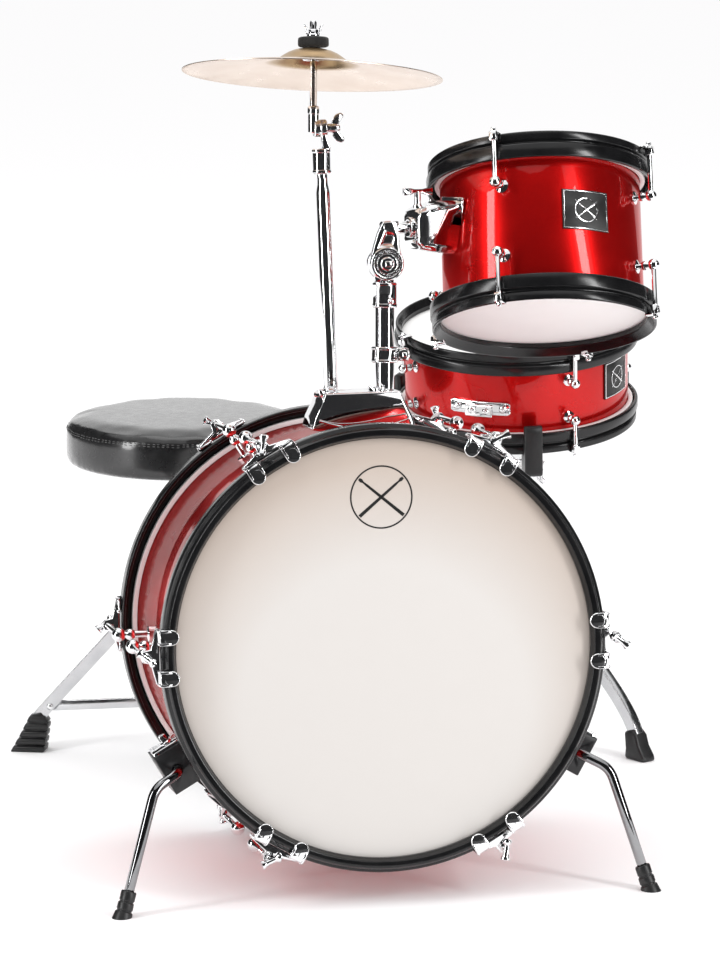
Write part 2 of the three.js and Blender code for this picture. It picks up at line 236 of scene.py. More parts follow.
def placed(piece, matrix):  # still in millimetres
    piece.matrix_world = matrix @ piece.matrix_world
    pick(piece)
    bpy.ops.object.transform_apply(location=True, rotation=True, scale=True)
    return piece


def shifted(piece, x=0.0, y=0.0, z=0.0):
    return placed(piece, Matrix.Translation((x, y, z)))


def dressed(piece, finish):
    piece.data.materials.clear()
    piece.data.materials.append(finish)
    return piece


def joined(name, *pieces):
    pick(*pieces)
    bpy.ops.object.join()
    pieces[0].name = name
    return pieces[0]


def bored(piece, *cutters):
    for cutter in cutters:
        pick(piece)
        hole = piece.modifiers.new("hole", "BOOLEAN")
        hole.operation = "DIFFERENCE"
        hole.solver = "EXACT"
        hole.object = cutter
        bpy.ops.object.modifier_apply(modifier="hole")
    for cutter in cutters:
        bpy.data.objects.remove(cutter)
    return piece


def seated(piece, place, body, slot, *nodes):
    placed(piece, place @ Matrix.Scale(mm, 4))
    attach(piece, body)
    if nodes:
        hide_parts(*nodes)
    return piece


def refined(node, body, finish, edge=0.6, angle=38):
    # a merged copy of a CAD node with eased edges stands for it
    piece = frame["nodes"][node].copy()
    piece.data = piece.data.copy()
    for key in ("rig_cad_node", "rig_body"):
        del piece[key]
    piece.parent = None
    bpy.context.scene.collection.objects.link(piece)
    piece.name = node + "_finished"
    edit(piece)
    bpy.ops.mesh.remove_doubles(threshold=0.00001)
    bpy.ops.mesh.dissolve_limited(angle_limit=math.radians(1))
    bpy.ops.object.mode_set(mode="OBJECT")
    eased(piece, edge * mm, 2, angle)
    dressed(piece, finish)
    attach(piece, body)
    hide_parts(node)
    return piece


# ---- camera, floor and light
viewpoint = {
    "turn": -10.65,
    "height": 10.69,  # degrees above level
    "distance": 4.75,
    "aim": (-0.053, -0.247, -0.035),
    "lens": 177.85,
}


def setCamera():
    kitMiddle = (cadBox[0] + cadBox[1]) / 2
    aim = kitMiddle + Vector(viewpoint["aim"])
    turn, height = math.radians(viewpoint["turn"]), math.radians(viewpoint["height"])
    back = Vector((math.sin(turn) * math.cos(height), -math.cos(turn) * math.cos(height), math.sin(height)))
    deselectAll()
    bpy.ops.object.camera_add(
        location=aim + back * viewpoint["distance"], rotation=(math.pi / 2 - height, 0, turn)
    )
    camera = bpy.context.object
    camera.data.lens = viewpoint["lens"]
    camera.data.clip_end = 60
    bpy.context.scene.camera = camera


setCamera()

studio = {
    "worldLight": 1.0,
    "floorColour": (0.965, 0.96, 0.965, 1),
    "floorSize": 70,
    "cardRing": 3.4,
    "cardWidth": 16,  # degrees of the ring that one card covers
    # the cards' directions from straight in front, degrees
    "cards": (-158, -142, -126, -110, -94, -80, -54, -38, -22, -6, 10, 24, 56, 72, 88, 104, 120),
    "strips": ((-68, 46), (39, 52)),  # direction and power of the tall lights in the gaps
}


def setStudio():
    world = bpy.data.worlds.new("whiteStudio")
    world.use_nodes = True
    world.node_tree.nodes["Background"].inputs["Color"].default_value = (1, 1, 1, 1)
    world.node_tree.nodes["Background"].inputs["Strength"].default_value = studio["worldLight"]
    bpy.context.scene.world = world
    bpy.context.scene.view_settings.view_transform = "Standard"
    deselectAll()
    bpy.ops.mesh.primitive_plane_add(size=1, location=(0, 0, 0))
    floor = bpy.context.object
    floor.name = "studio_floor"
    floor.scale = (studio["floorSize"], studio["floorSize"], 1)
    bpy.ops.object.transform_apply(location=False, rotation=False, scale=True)
    paper = bpy.data.materials.new("whitePaper")
    paper.use_nodes = True
    shader = paper.node_tree.nodes["Principled BSDF"]
    shader.inputs["Base Color"].default_value = studio["floorColour"]
    shader.inputs["Roughness"].default_value = 0.6
    shader.inputs["Specular IOR Level"].default_value = 0
    dressed(floor, paper)


def addCard(direction):
    # a dark card that only shows in the gloss of the metal and lacquer
    reach, width = studio["cardRing"], studio["cardWidth"]
    angle = math.radians(direction)
    deselectAll()
    bpy.ops.mesh.primitive_plane_add(size=1, rotation=(math.pi / 2, 0, angle))
    card = bpy.context.object
    card.name = "studio_card"
    card.scale = (2 * reach * math.tan(math.radians(width / 2)), 4.2, 1)
    card.location = (reach * math.sin(angle), -reach * math.cos(angle), 1.9)
    bpy.ops.object.transform_apply(location=True, rotation=True, scale=True)
    makeDark(card)


def makeDark(card):
    black = bpy.data.materials.get("blackCard") or bpy.data.materials.new("blackCard")
    black.use_nodes = True
    black.node_tree.nodes["Principled BSDF"].inputs["Base Color"].default_value = (0.012, 0.012, 0.013, 1)
    black.node_tree.nodes["Principled BSDF"].inputs["Roughness"].default_value = 1
    dressed(card, black)
    card.visible_camera = False
    card.visible_diffuse = False
    card.visible_shadow = False
    card.visible_transmission = False


def addFloorCard():
    # the floor in front of the lit paper is dark as well
    deselectAll()
    bpy.ops.mesh.primitive_circle_add(vertices=64, radius=3.0, fill_type="NGON",
        location=(-0.6, -3.72, 0.002))
    card = bpy.context.object
    card.name = "studio_card"
    bpy.ops.object.transform_apply(location=True, rotation=True, scale=True)
    makeDark(card)


def addSoftbox(location, target, size, power):
    direction = Vector(target) - Vector(location)
    deselectAll()
    bpy.ops.object.light_add(
        type="AREA", location=location, rotation=direction.to_track_quat("-Z", "Y").to_euler()
    )
    lamp = bpy.context.object.data
    lamp.shape = "RECTANGLE"
    lamp.size, lamp.size_y = size
    lamp.energy = power


setStudio()
for cardDirection in studio["cards"]:
    addCard(cardDirection)
addFloorCard()
for stripDirection, stripPower in studio["strips"]:
    stripTurn = math.radians(stripDirection)
    spot = (3.1 * math.sin(stripTurn), -3.1 * math.cos(stripTurn), 1.3)
    addSoftbox(spot, (0, 0, 0.6), (0.5, 2.4), stripPower)
addSoftbox((0, 0.4, 3.4), (0, 0, 0.3), (2.6, 2.2), 24)
print("studio set")


# ---- finishes
def newFinish(name, colour, roughness, metallic=0.0, **constants):
    finish = bpy.data.materials.new(name)
    finish.use_nodes = True
    shader = finish.node_tree.nodes["Principled BSDF"]
    shader.inputs["Base Color"].default_value = (*colour, 1)
    shader.inputs["Roughness"].default_value = roughness
    shader.inputs["Metallic"].default_value = metallic
    for socket, value in constants.items():
        shader.inputs[socket.replace("_", " ")].default_value = value
    return finish


def addNode(finish, kind, **inputs):
    made = finish.node_tree.nodes.new(kind)
    for socket, value in inputs.items():
        made.inputs[socket.replace("_", " ")].default_value = value
    return made


def link(finish, source, output, target, socket):
    finish.node_tree.links.new(source.outputs[output], target.inputs[socket])


def coordinates(finish, place=None, stretch=(1, 1, 1)):
    # object coordinates, brought into a piece's own frame where a pattern follows it
    source = finish.node_tree.nodes.new("ShaderNodeTexCoord")
    mapping = addNode(finish, "ShaderNodeMapping", Scale=stretch)
    if place is not None:
        back = place.inverted()
        mapping.inputs["Rotation"].default_value = back.to_euler()
        mapping.inputs["Location"].default_value = back.translation
    link(finish, source, "Object", mapping, "Vector")
    return mapping


def noise(finish, where, scale, detail=3.0, roughness=0.55):
    made = addNode(finish, "ShaderNodeTexNoise", Scale=scale, Detail=detail, Roughness=roughness)
    link(finish, where, "Vector", made, "Vector")
    return made


def tintBy(finish, source, output, first, second, low=0.35, high=0.65):
    ramp = finish.node_tree.nodes.new("ShaderNodeValToRGB")
    ramp.color_ramp.elements[0].position, ramp.color_ramp.elements[0].color = low, (*first, 1)
    ramp.color_ramp.elements[1].position, ramp.color_ramp.elements[1].color = high, (*second, 1)
    link(finish, source, output, ramp, "Fac")
    link(finish, ramp, "Color", finish.node_tree.nodes["Principled BSDF"], "Base Color")


def roughBy(finish, source, output, low, high):
    spread = addNode(finish, "ShaderNodeMapRange", From_Min=0.3, From_Max=0.7, To_Min=low, To_Max=high)
    link(finish, source, output, spread, "Value")
    link(finish, spread, "Result", finish.node_tree.nodes["Principled BSDF"], "Roughness")


def reliefBy(finish, source, output, strength, depth, under=None):
    bump = addNode(finish, "ShaderNodeBump", Strength=strength, Distance=depth)
    link(finish, source, output, bump, "Height")
    if under is not None:
        link(finish, under, "Normal", bump, "Normal")
    link(finish, bump, "Normal", finish.node_tree.nodes["Principled BSDF"], "Normal")
    return bump


def candyRed():
    # metal flake under a deep red lacquer, with a thick clear coat
    look = newFinish("candyRedLacquer", (0.52, 0.004, 0.012), 0.3, 0.78,
                     Coat_Weight=0.5, Coat_Roughness=0.02, Specular_Tint=(0.9, 0.05, 0.04, 1))
    where = coordinates(look)
    flakes = addNode(look, "ShaderNodeTexVoronoi", Scale=2300.0)
    link(look, where, "Vector", flakes, "Vector")
    tintBy(look, flakes, "Distance", (0.66, 0.011, 0.009), (0.42, 0.003, 0.004), 0.1, 0.75)
    cloud = noise(look, where, 14.0)
    roughBy(look, cloud, "Fac", 0.24, 0.34)
    reliefBy(look, flakes, "Distance", 0.12, 0.00004)
    return look


def blackSteel():
    # satin powder coat: a fine orange peel
    look = newFinish("blackSteel", (0.006, 0.006, 0.0065), 0.24, 0.0, Specular_IOR_Level=0.42)
    where = coordinates(look)
    peel = noise(look, where, 520.0, 2.0)
    tintBy(look, noise(look, where, 26.0), "Fac", (0.004, 0.004, 0.0045), (0.008, 0.008, 0.0085))
    roughBy(look, noise(look, where, 60.0), "Fac", 0.16, 0.26)
    reliefBy(look, peel, "Fac", 0.1, 0.00012)
    return look


def plated(name, colour, second, roughness):
    look = newFinish(name, colour, roughness, 1.0)
    where = coordinates(look)
    haze = noise(look, where, 45.0, 4.0)
    tintBy(look, haze, "Fac", colour, second)
    roughBy(look, haze, "Fac", roughness * 0.6, roughness * 1.6)
    hairlines = noise(look, coordinates(look, None, (1, 1, 0.06)), 1500.0, 2.0)
    reliefBy(look, hairlines, "Fac", 0.02, 0.00005)
    return look


def coatedHead(name, colour, mottleAndShadeColour, place=None):
    # sprayed film: tiny pimples and a little smoke in the colour; with place given, the colour instead
    # carries painted shade, darker and warmer further from place
    look = newFinish(name, colour, 0.46, 0.0, Specular_IOR_Level=0.4)
    where = coordinates(look)
    if place is None:
        tintBy(look, noise(look, where, 5.5, 3.0), "Fac", mottleAndShadeColour, colour, 0.3, 0.62)
    else:
        # painted shade: the colour turns darker and warmer with distance from place, towards the rim
        reach = look.node_tree.nodes.new("ShaderNodeVectorMath")
        reach.operation = "LENGTH"
        link(look, coordinates(look, place), "Vector", reach, "Vector")
        tintBy(look, reach, "Value", colour, mottleAndShadeColour, 0.205, 0.285)
    roughBy(look, noise(look, where, 90.0), "Fac", 0.4, 0.52)
    reliefBy(look, noise(look, where, 1900.0, 2.0), "Fac", 0.16, 0.00012)
    return look


def lathedBrass(place):
    # fine grooves run round the cymbal's own axis
    look = newFinish("cymbalBrass", (0.8, 0.67, 0.57), 0.3, 1.0)
    where = coordinates(look, place)
    grooves = addNode(look, "ShaderNodeTexWave", Scale=150.0, Distortion=0.6, Detail=2.0)
    grooves.wave_type = "RINGS"
    grooves.rings_direction = "Z"
    link(look, where, "Vector", grooves, "Vector")
    # the bell is darker gold than the bow
    reach = look.node_tree.nodes.new("ShaderNodeVectorMath")
    reach.operation = "LENGTH"
    link(look, where, "Vector", reach, "Vector")
    tintBy(look, reach, "Value", (0.46, 0.31, 0.16), (0.8, 0.67, 0.57), 0.0455, 0.0485)
    roughBy(look, noise(look, where, 30.0), "Fac", 0.26, 0.36)
    reliefBy(look, grooves, "Fac", 0.18, 0.0001)
    return look


def grainy(name, colour, second, roughness, grain, strength, depth, voronoi=False, **constants):
    look = newFinish(name, colour, roughness, 0.0, **constants)
    where = coordinates(look)
    tintBy(look, noise(look, where, grain * 0.07), "Fac", colour, second)
    roughBy(look, noise(look, where, grain * 0.2), "Fac", roughness - 0.06, roughness + 0.08)
    if voronoi:
        cells = addNode(look, "ShaderNodeTexVoronoi", Scale=grain)
        cells.feature = "SMOOTH_F1"
        link(look, where, "Vector", cells, "Vector")
        reliefBy(look, cells, "Distance", strength, depth)
    else:
        reliefBy(look, noise(look, where, grain, 4.0), "Fac", strength, depth)
    return look


red = candyRed()
black = blackSteel()
chrome = plated("chrome", (0.83, 0.835, 0.85), (0.9, 0.9, 0.905), 0.055)
# a shaded copy of the chrome for the spur rods: its dark colour is a painted dark reflection of the
# surroundings
chromeWithPaintedDarkReflection = plated("chromeWithPaintedDarkReflection", (0.26, 0.262, 0.27), (0.32, 0.32, 0.328), 0.06)
zinc = plated("zincStrip", (0.56, 0.565, 0.58), (0.64, 0.645, 0.655), 0.17)
whiteHead = coatedHead("whiteHead", (0.93, 0.925, 0.915), (0.88, 0.875, 0.865))
feltWool = grainy("blackFelt", (0.006, 0.006, 0.006), (0.016, 0.0155, 0.015), 0.92, 900.0, 0.9, 0.0007,
    Sheen_Weight=0.12)
rubber = grainy("blackRubber", (0.006, 0.006, 0.0065), (0.012, 0.012, 0.0125), 0.42, 420.0, 0.25, 0.0002)
plastic = grainy("blackPlastic", (0.01, 0.01, 0.011), (0.016, 0.016, 0.017), 0.36, 700.0, 0.15, 0.0001)
vinyl = grainy("blackVinyl", (0.009, 0.009, 0.0095), (0.015, 0.015, 0.0155), 0.3, 620.0, 0.22, 0.0002, True,
               Specular_IOR_Level=0.2, Coat_Weight=1.0, Coat_Roughness=0.17)
thread = grainy("blackThread", (0.05, 0.05, 0.051), (0.09, 0.09, 0.09), 0.7, 1500.0, 0.4, 0.0001)
printInk = grainy("blackInk", (0.008, 0.008, 0.008), (0.012, 0.012, 0.012), 0.45, 800.0, 0.08, 0.00005)
print("finishes made")


# ---- drums: each is drawn about Z with its face away from the middle
def hoopProfile(size):
    # radius and height above the drum's middle; the inner lip presses on the head
    outer, face, lip = size["hoopRadius"], size["half"], size["lipRadius"]
    step = size["hoopStep"]
    return [
        (lip, face - step["lipLow"]),
        (lip, face - step["lipHigh"]),
        (lip + 1.2, face - step["lipHigh"] + 1.4),
        (outer - step["inner"], face - 2.6),
        (outer - step["inner"] + 1.2, face - 0.6),
        (outer - step["inner"] + 2.6, face),
        (outer - step["ledge"] - 1.2, face),
        (outer - step["ledge"], face - 1.3),
        (outer - step["ledge"], face - step["groove"] + 1.8),
        (outer - step["waist"], face - step["groove"]),
        (outer - step["waist"], face - step["groove"] - 1.4),
        (outer - 0.5, face - step["groove"] - 3.0),
        (outer, face - step["groove"] - 4.2),
        (outer, face - size["hoopWidth"] + 1.2),
        (outer - 1.0, face - size["hoopWidth"]),
        (outer - 3.2, face - size["hoopWidth"]),
        (outer - 4.0, face - size["hoopWidth"] + 1.0),
        (outer - 4.0, face - step["lipLow"]),
    ]


def makeHead(name, size, collar=4.5):
    radius, edge = size["shellRadius"], size["half"] - size["inset"]
    return spun(name, [
        (0, edge + 0.35), (radius + 0.35, edge + 0.35), (radius + 0.35, edge - 8), (radius + 5.2, edge - 8),
        (radius + 5.2, edge + 1.1), (radius + 3.4, edge + 1.6), (radius - collar, edge + 1.75),
        (radius - collar - 9, edge + 1.7), (0, edge + 1.7),
    ], size["sides"], 0.25)


def makeShell(name, size):
    radius, wall, edge = size["shellRadius"], size["wall"], size["half"] - size["inset"]
    return spun(name, [
        (radius - wall, -edge + 3), (radius - wall, edge - 3), (radius - 1.6, edge), (radius, edge - 1.2),
        (radius, -edge + 1.2), (radius - 1.6, -edge),
    ], size["sides"], 0.3)


def ballLug(name, size):
    # flange on the shell, neck, small ball and the big ball that takes the rod; Z is outwards
    reach, ball = size["rodRadius"] - size["shellRadius"], size["ball"]
    neck = 0.45 * ball
    small = 0.8 * ball
    smallAt = reach - ball - 0.75 * small
    profile = [(0, -0.6), (1.15 * ball, -0.6), (1.15 * ball, 1.0), (0.9 * ball, 1.8), (neck, 2.6)]
    profile += [(small * math.cos(a), smallAt + small * math.sin(a)) for a in (-0.9, -0.4, 0.1, 0.6, 0.95)]
    profile += [(neck, reach - ball * 0.9)]
    profile += [(ball * math.cos(a), reach + ball * math.sin(a))
        for a in (-1.0, -0.6, -0.2, 0.2, 0.6, 1.0, 1.3)]
    profile += [(0, reach + ball)]
    return dressed(spun(name, profile, 28, 0), chrome)


def onStation(angle, lengthwise=0.0):
    # local X is round the drum, Y along its axis, Z outwards, from the axis
    acrossToUp = Matrix(((0, 0, 1, 0), (1, 0, 0, 0), (0, 1, 0, 0), (0, 0, 0, 1)))
    return turned(angle) @ moved(0, 0, lengthwise) @ acrossToUp


bass = {
    "shellRadius": 203, "wall": 6, "half": 159, "inset": 14, "sides": 144,
    "hoopRadius": 220, "hoopWidth": 28, "lipRadius": 205.6,
    "hoopStep": {"lipLow": 11.9, "lipHigh": 6.9, "inner": 12.4, "ledge": 4.6, "groove": 3.4, "waist": 3.4},
    "rodRadius": 234, "ball": 7.2, "lugAt": 52, "stations": (0, 60, 120, 180, 240, 300),
    "clawSpread": 20, "clawWidth": 15.5,
}
bassAxis = -axisOf("spur_left_fold")
bassPlace = frameAt(middleOf("bass_shell"), bassAxis)


def makeClaw(size):
    # two straps over the hoop, each with a round tongue on the hoop's face, and a thin bridge for the T-rod
    face, outer, half, reach = size["half"], size["hoopRadius"], size["clawWidth"] / 2, size["rodRadius"]
    strap = [
        (outer - 9, face + 0.4), (outer - 9, face + 2), (outer - 1, face + 2.2), (outer + 1.8, face + 1.4),
        (outer + 3, face - 1), (outer + 3, face - 21), (outer + 2, face - 23), (outer + 0.4, face - 23),
        (outer + 0.4, face + 0.4),
    ]
    parts = []
    for side in (-1, 1):
        middle = side * size["clawSpread"]
        parts.append(slab("strap", strap, middle - half, middle + half, 0.6))
        raised = [(x + (0.9 if x > outer else 0), z + (0.8 if z > face + 1 else 0)) for x, z in strap]
        for rib in (-1, 1):
            ribAt = middle + rib * (half - 1.6)
            parts.append(slab("rib", raised, ribAt - 1.1, ribAt + 1.1, 0.4, 2))
        tongue = spun("tongue", [(0, 0.4), (half, 0.4), (half, 1.5), (half - 0.9, 2.3), (0, 2.3)], 36, 0.2)
        tongue.scale = (0.72, 1, 1)
        parts.append(placed(tongue, Matrix.Translation((outer - 9, middle, face))))
    spread = size["clawSpread"] + half - 1
    bridge = drawLine("bridge", [
        (outer + 0.8, -spread, face - 21), (outer + 4, -spread, face - 21), (reach - 5, -7, face - 21),
        (reach + 3, -5.4, face - 21), (reach + 5.4, 0, face - 21),
        (reach + 3, 5.4, face - 21), (reach - 5, 7, face - 21),
        (outer + 4, spread, face - 21), (outer + 0.8, spread, face - 21),
    ])
    bpy.ops.mesh.select_all(action="SELECT")
    bpy.ops.mesh.edge_face_add()
    bpy.ops.mesh.extrude_region_move(TRANSFORM_OT_translate={"value": (0, 0, 5)})
    cleaned()
    eased(bridge, 0.8)
    return dressed(joined("claw", *parts, bridge), chrome)


def makeTeeRod(size):
    # the rod from the lug's ball to a dog-bone handle just behind the hoop's face
    reach, face, lug = size["rodRadius"], size["half"], size["lugAt"]
    rod = spun("rod", [
        (0, lug + 3), (2.9, lug + 3), (2.9, face - 15),
        (4.8, face - 14.4), (4.8, face - 11.6), (3.4, face - 10.4),
        (3.4, face - 5), (0, face - 5),
    ], 24, 0.3)
    grip = spun("grip", [
        (0, -10.5), (2.6, -10.2), (4.4, -8.8), (4.8, -7.2),
        (4, -5.4), (2.7, -4), (2.7, 3), (3.6, 6.4), (4.8, 9.2),
        (4.7, 10.2), (3, 10.6), (0, 9.8),
    ], 28, 0)
    placed(grip, Matrix.Translation((0, 0, face - 4)) @ turned(52) @ turned(90, "X"))
    return dressed(shifted(joined("teeRod", rod, grip), reach), chrome)


def addDrum(name, size, place, body, labels, finishes):
    upper, lower = labels
    shell = dressed(makeShell(name + "_shell_lacquered", size), red)
    hoop = dressed(spun("hoop", hoopProfile(size), size["sides"], 0.35), black)
    head = makeHead("head", size)
    flip = turned(180, "X")
    for label, way, finish in ((upper, Matrix(), finishes[0]), (lower, flip, finishes[1])):
        seated(copyOf(hoop, f"{name}_{label}_hoop_rolled"), place @ way, body, "black_steel",
            f"{name}_{label}_hoop")
        film = dressed(copyOf(head, f"{name}_{label}_head_film"), finish)
        seated(film, place @ way, body, "drumhead", f"{name}_{label}_head")
    bpy.data.objects.remove(hoop)
    bpy.data.objects.remove(head)
    return shell


# painted shade on the front head: darker and warmer towards its rim, around a centre set 60 mm off the
# drum's middle
creamHeadPaintedShade = coatedHead("creamHeadPaintedShade", (0.535, 0.51, 0.49), (0.43, 0.36, 0.312), bassPlace @ moved(0, -60, 0))
bassShell = addDrum("bass", bass, bassPlace, "root", ("front", "back"), (creamHeadPaintedShade, whiteHead))
seated(bassShell, bassPlace, "root", "candy_red_lacquer", "bass_shell")
claw, teeRod, bassLug = makeClaw(bass), makeTeeRod(bass), ballLug("lug", bass)
for way, label in ((Matrix(), "front"), (turned(180, "X"), "back")):
    for number, station in enumerate(bass["stations"], 1):
        spot = bassPlace @ way @ turned(station)
        seated(copyOf(claw, f"bass_{label}_claw_{number}"), spot, "root", "chrome")
        seated(copyOf(teeRod, f"bass_{label}_tee_rod_{number}"), spot, "root", "chrome")
        lugPlace = bassPlace @ way @ onStation(station, bass["lugAt"]) @ moved(0, 0, bass["shellRadius"])
        seated(copyOf(bassLug, f"bass_{label}_lug_{number}"), lugPlace, "root", "chrome")
for master in (claw, teeRod, bassLug):
    bpy.data.objects.remove(master)
print("bass drum made")

# ---- small fittings that several pieces share
def squareBolt(name, radius=4.2, height=7.0, washer=6.2):
    # square key head on a washer, standing on the plane Z = 0
    base = spun("washer", [(0, -1), (washer, -1), (washer, 0.9), (washer - 1.4, 2.0), (0, 2.0)], 28, 0.25)
    head = spun("head", [(0, 1.5), (radius, 1.5), (radius, height - 1.0), (radius - 1.0, height),
        (0, height)], 4, 0.5)
    return dressed(joined(name, base, placed(head, turned(45))), chrome)


def rivet(name, radius=4.0):
    return dressed(spun(name, [
        (0, -0.4), (radius, -0.4), (radius, 0.5), (radius * 0.84, 1.3), (radius * 0.5, 1.9), (0, 2.1),
    ], 24, 0), chrome)


def wingBolt(name, hub=5.0, height=9.0, reach=14.0, rise=12.0):
    # a hub and two leaf-shaped wings that lean outwards
    body = spun("hub", [(0, -1), (hub, -1), (hub, height * 0.55), (hub * 0.7, height), (0, height)], 28,
        0.5)
    leaf = [
        (hub * 0.4, height * 0.1), (reach * 0.55, height * 0.15),
        (reach * 0.9, rise * 0.45), (reach, rise * 0.85),
        (reach * 0.9, rise * 1.08), (reach * 0.7, rise * 1.1),
        (reach * 0.45, rise * 0.8), (hub * 0.3, height * 0.8),
    ]
    parts = [body]
    for side in (-1, 1):
        parts.append(slab("wing", [(side * x, z) for x, z in leaf], -1.3, 1.3, 0.9, 3))
    return dressed(joined(name, *parts), chrome)


def teeBolt(name, stem=16.0, half=18.0, radius=3.0):
    # a plain stem under a bar with two flattened paddles
    post = spun("stem", [(0, -2), (4.4, -2), (4.4, 3), (radius, 4), (radius, stem), (0, stem)], 24, 0.3)
    bar = slab("bar", [
        (-half, stem - 4.2), (-half * 0.55, stem - 3.8),
        (-5, stem - 2.2), (5, stem - 2.2), (half * 0.55, stem - 3.8),
        (half, stem - 4.2), (half, stem + 3.6),
        (half * 0.55, stem + 3.2), (5, stem + 2.2), (-5, stem + 2.2),
        (-half * 0.55, stem + 3.2), (-half, stem + 3.6),
    ], -1.9, 1.9, 0.9)
    return dressed(joined(name, post, bar), chrome)


def bandOutline(line, up, down):
    # two edges that follow a line in X and Z
    edges = ([], [])
    for k, (x, z) in enumerate(line):
        before, after = line[max(k - 1, 0)], line[min(k + 1, len(line) - 1)]
        run, climb = after[0] - before[0], after[1] - before[1]
        length = math.hypot(run, climb)
        for edge, offset in zip(edges, (-down, up)):
            edge.append((x - offset * climb / length, z + offset * run / length))
    return edges[0] + edges[1][::-1]


def flatSoft(line, reach, steps=5):
    return [(x, z) for x, _, z in softCorners([(x, 0, z) for x, z in line], reach, steps)]


# ---- spurs and their brackets
spur = {"radius": 5, "start": 63, "knee": 122, "elbow": (27, -14, 135), "end": (61, -128, 147.4),
    "bend": 11}


def makeSpur(side, label):
    hole = bassPlace.inverted() @ pivotOf(f"spur_{label}_fold") / mm
    at = Vector((hole.x, hole.y, 0))
    elbow = at + Vector((side * spur["elbow"][0], spur["elbow"][1], spur["elbow"][2]))
    end = at + Vector((side * spur["end"][0], spur["end"][1], spur["end"][2]))
    path = [at + Vector((0, 0, spur["start"])), at + Vector((0, 0, spur["knee"])), elbow, end]
    # the rod's chrome is darkened in its colour, a painted dark reflection
    rod = dressed(bentRod("rod", softCorners([tuple(p) for p in path], spur["bend"]), spur["radius"],
        24), chromeWithPaintedDarkReflection)
    body = f"spur_{label}_leg"
    seated(rod, bassPlace, body, "chrome", f"spur_{label}").name = f"spur_{label}_rod"
    along = (end - elbow).normalized()
    boot = spun("boot", [
        (5.1, -18), (6.9, -18), (7.6, -16.5), (7.6, -9), (6.9, -8),
        (6.9, -7), (7.9, -6), (8.1, 0), (7.3, 1), (7.3, 2),
        (8.6, 3), (9.6, 9), (10.3, 12), (10.5, 30), (0.001, 30), (0.001, 1), (5.1, 1),
    ], 40, 0.4)
    dressed(boot, rubber)
    tip = frameAt(bassPlace @ (end * mm), bassPlace.to_3x3() @ along)
    seated(boot, tip, body, "rubber", f"spur_foot_{label}").name = f"spur_{label}_rubber_foot"
    edit(boot)
    bpy.ops.mesh.bisect(plane_co=(0, 0, 0), plane_no=(0, 0, 1), use_fill=True, clear_inner=True)
    bpy.ops.object.mode_set(mode="OBJECT")
    refined(f"spur_bracket_{label}", "root", plastic, 2.2)
    angle = math.degrees(math.atan2(hole.y, hole.x))
    outwards = math.hypot(hole.x, hole.y)
    plate = slab("plate", [(-22, -17), (10, -17), (10, 17), (-22, 17)], 0, 3.2, 1.0)
    lip = slab("lip", [(7, -17), (12.5, -17), (12.5, 17), (7, 17)], -26, 3.2, 1.0)
    bolt = placed(squareBolt("bolt", 4.6, 9), Matrix.Translation((-5, 3.2, 0)) @ turned(-90, "X"))
    clamp = dressed(joined("clamp", plate, lip, bolt), chrome)
    placed(clamp, Matrix.Translation((outwards, 21, 81)))
    if side < 0:  # the clamp plate is on the upper side of each block
        placed(clamp, turned(180, "X") @ Matrix.Translation((0, 0, -162)))
    seated(clamp, bassPlace @ turned(angle), "root", "chrome").name = f"spur_{label}_clamp_plate"


for spurSide, spurLabel in ((-1, "left"), (1, "right")):
    makeSpur(spurSide, spurLabel)
print("spurs made")

# ---- the housing that both posts stand in
housing = {
    "middle": 6, "half": 36,
    "outline": [(-54, 191), (54, 191), (53, 206), (49.5, 218), (43, 231), (38.5, 243)],
    "taper": 0.84, "edge": 3.0,
}
postAxes = {"cymbal": axisOf("cymbal_height"), "tom": axisOf("tom_height")}
cymbalPost = frameAt(pivotOf("cymbal_tilt") - 302 * mm * postAxes["cymbal"], postAxes["cymbal"],
    axisOf("cymbal_tilt"))
tomPost = frameAt(pivotOf("tom_swivel"), postAxes["tom"])


def makeHousing():
    right = [(housing["middle"] + x, y) for x, y in housing["outline"]]
    left = [(2 * housing["middle"] - x, y) for x, y in right[:0:-1]]
    outline = right[1:] + left[:-1]
    block = drawLine("housing", [(x, y, -housing["half"]) for x, y in (*outline, outline[0])])
    bpy.ops.mesh.select_all(action="SELECT")
    bpy.ops.mesh.remove_doubles(threshold=0.001)
    bpy.ops.mesh.select_all(action="SELECT")
    bpy.ops.mesh.edge_face_add()
    bpy.ops.mesh.extrude_region_move(TRANSFORM_OT_translate={"value": (0, 0, 2 * housing["half"])})
    cleaned()
    for vertex in block.data.vertices:
        vertex.select = vertex.co.y > 225
    bpy.ops.object.mode_set(mode="EDIT")
    bpy.ops.mesh.select_mode(type="VERT")
    bpy.ops.transform.resize(value=(1, 1, housing["taper"]), center_override=(0, 0, 0))
    bpy.ops.object.mode_set(mode="OBJECT")
    eased(block, housing["edge"], 4, 22)
    toMillimetres = Matrix.Scale(1 / mm, 4) @ bassPlace.inverted()
    cutters = [spun("drumRound", [(0, -80), (203.2, -80), (203.2, 80), (0, 80)], 144, 0)]
    for post, radius in ((cymbalPost, 7.2), (tomPost, 9.9)):
        bore = spun("bore", [(0, -60), (radius, -60), (radius, 90), (0, 90)], 40, 0)
        cutters.append(placed(bore, toMillimetres @ post @ Matrix.Scale(mm, 4)))
    dressed(bored(block, *cutters), chrome)
    front = housing["half"] + 0.2
    bead = [(housing["middle"] + x, 207 + 0.0042 * x * x, front) for x in range(-46, 47, 4)]
    line = dressed(bentRod("bead", bead, 1.1, 12), chrome)
    return joined("drum_mount_housing_cast", block, line)


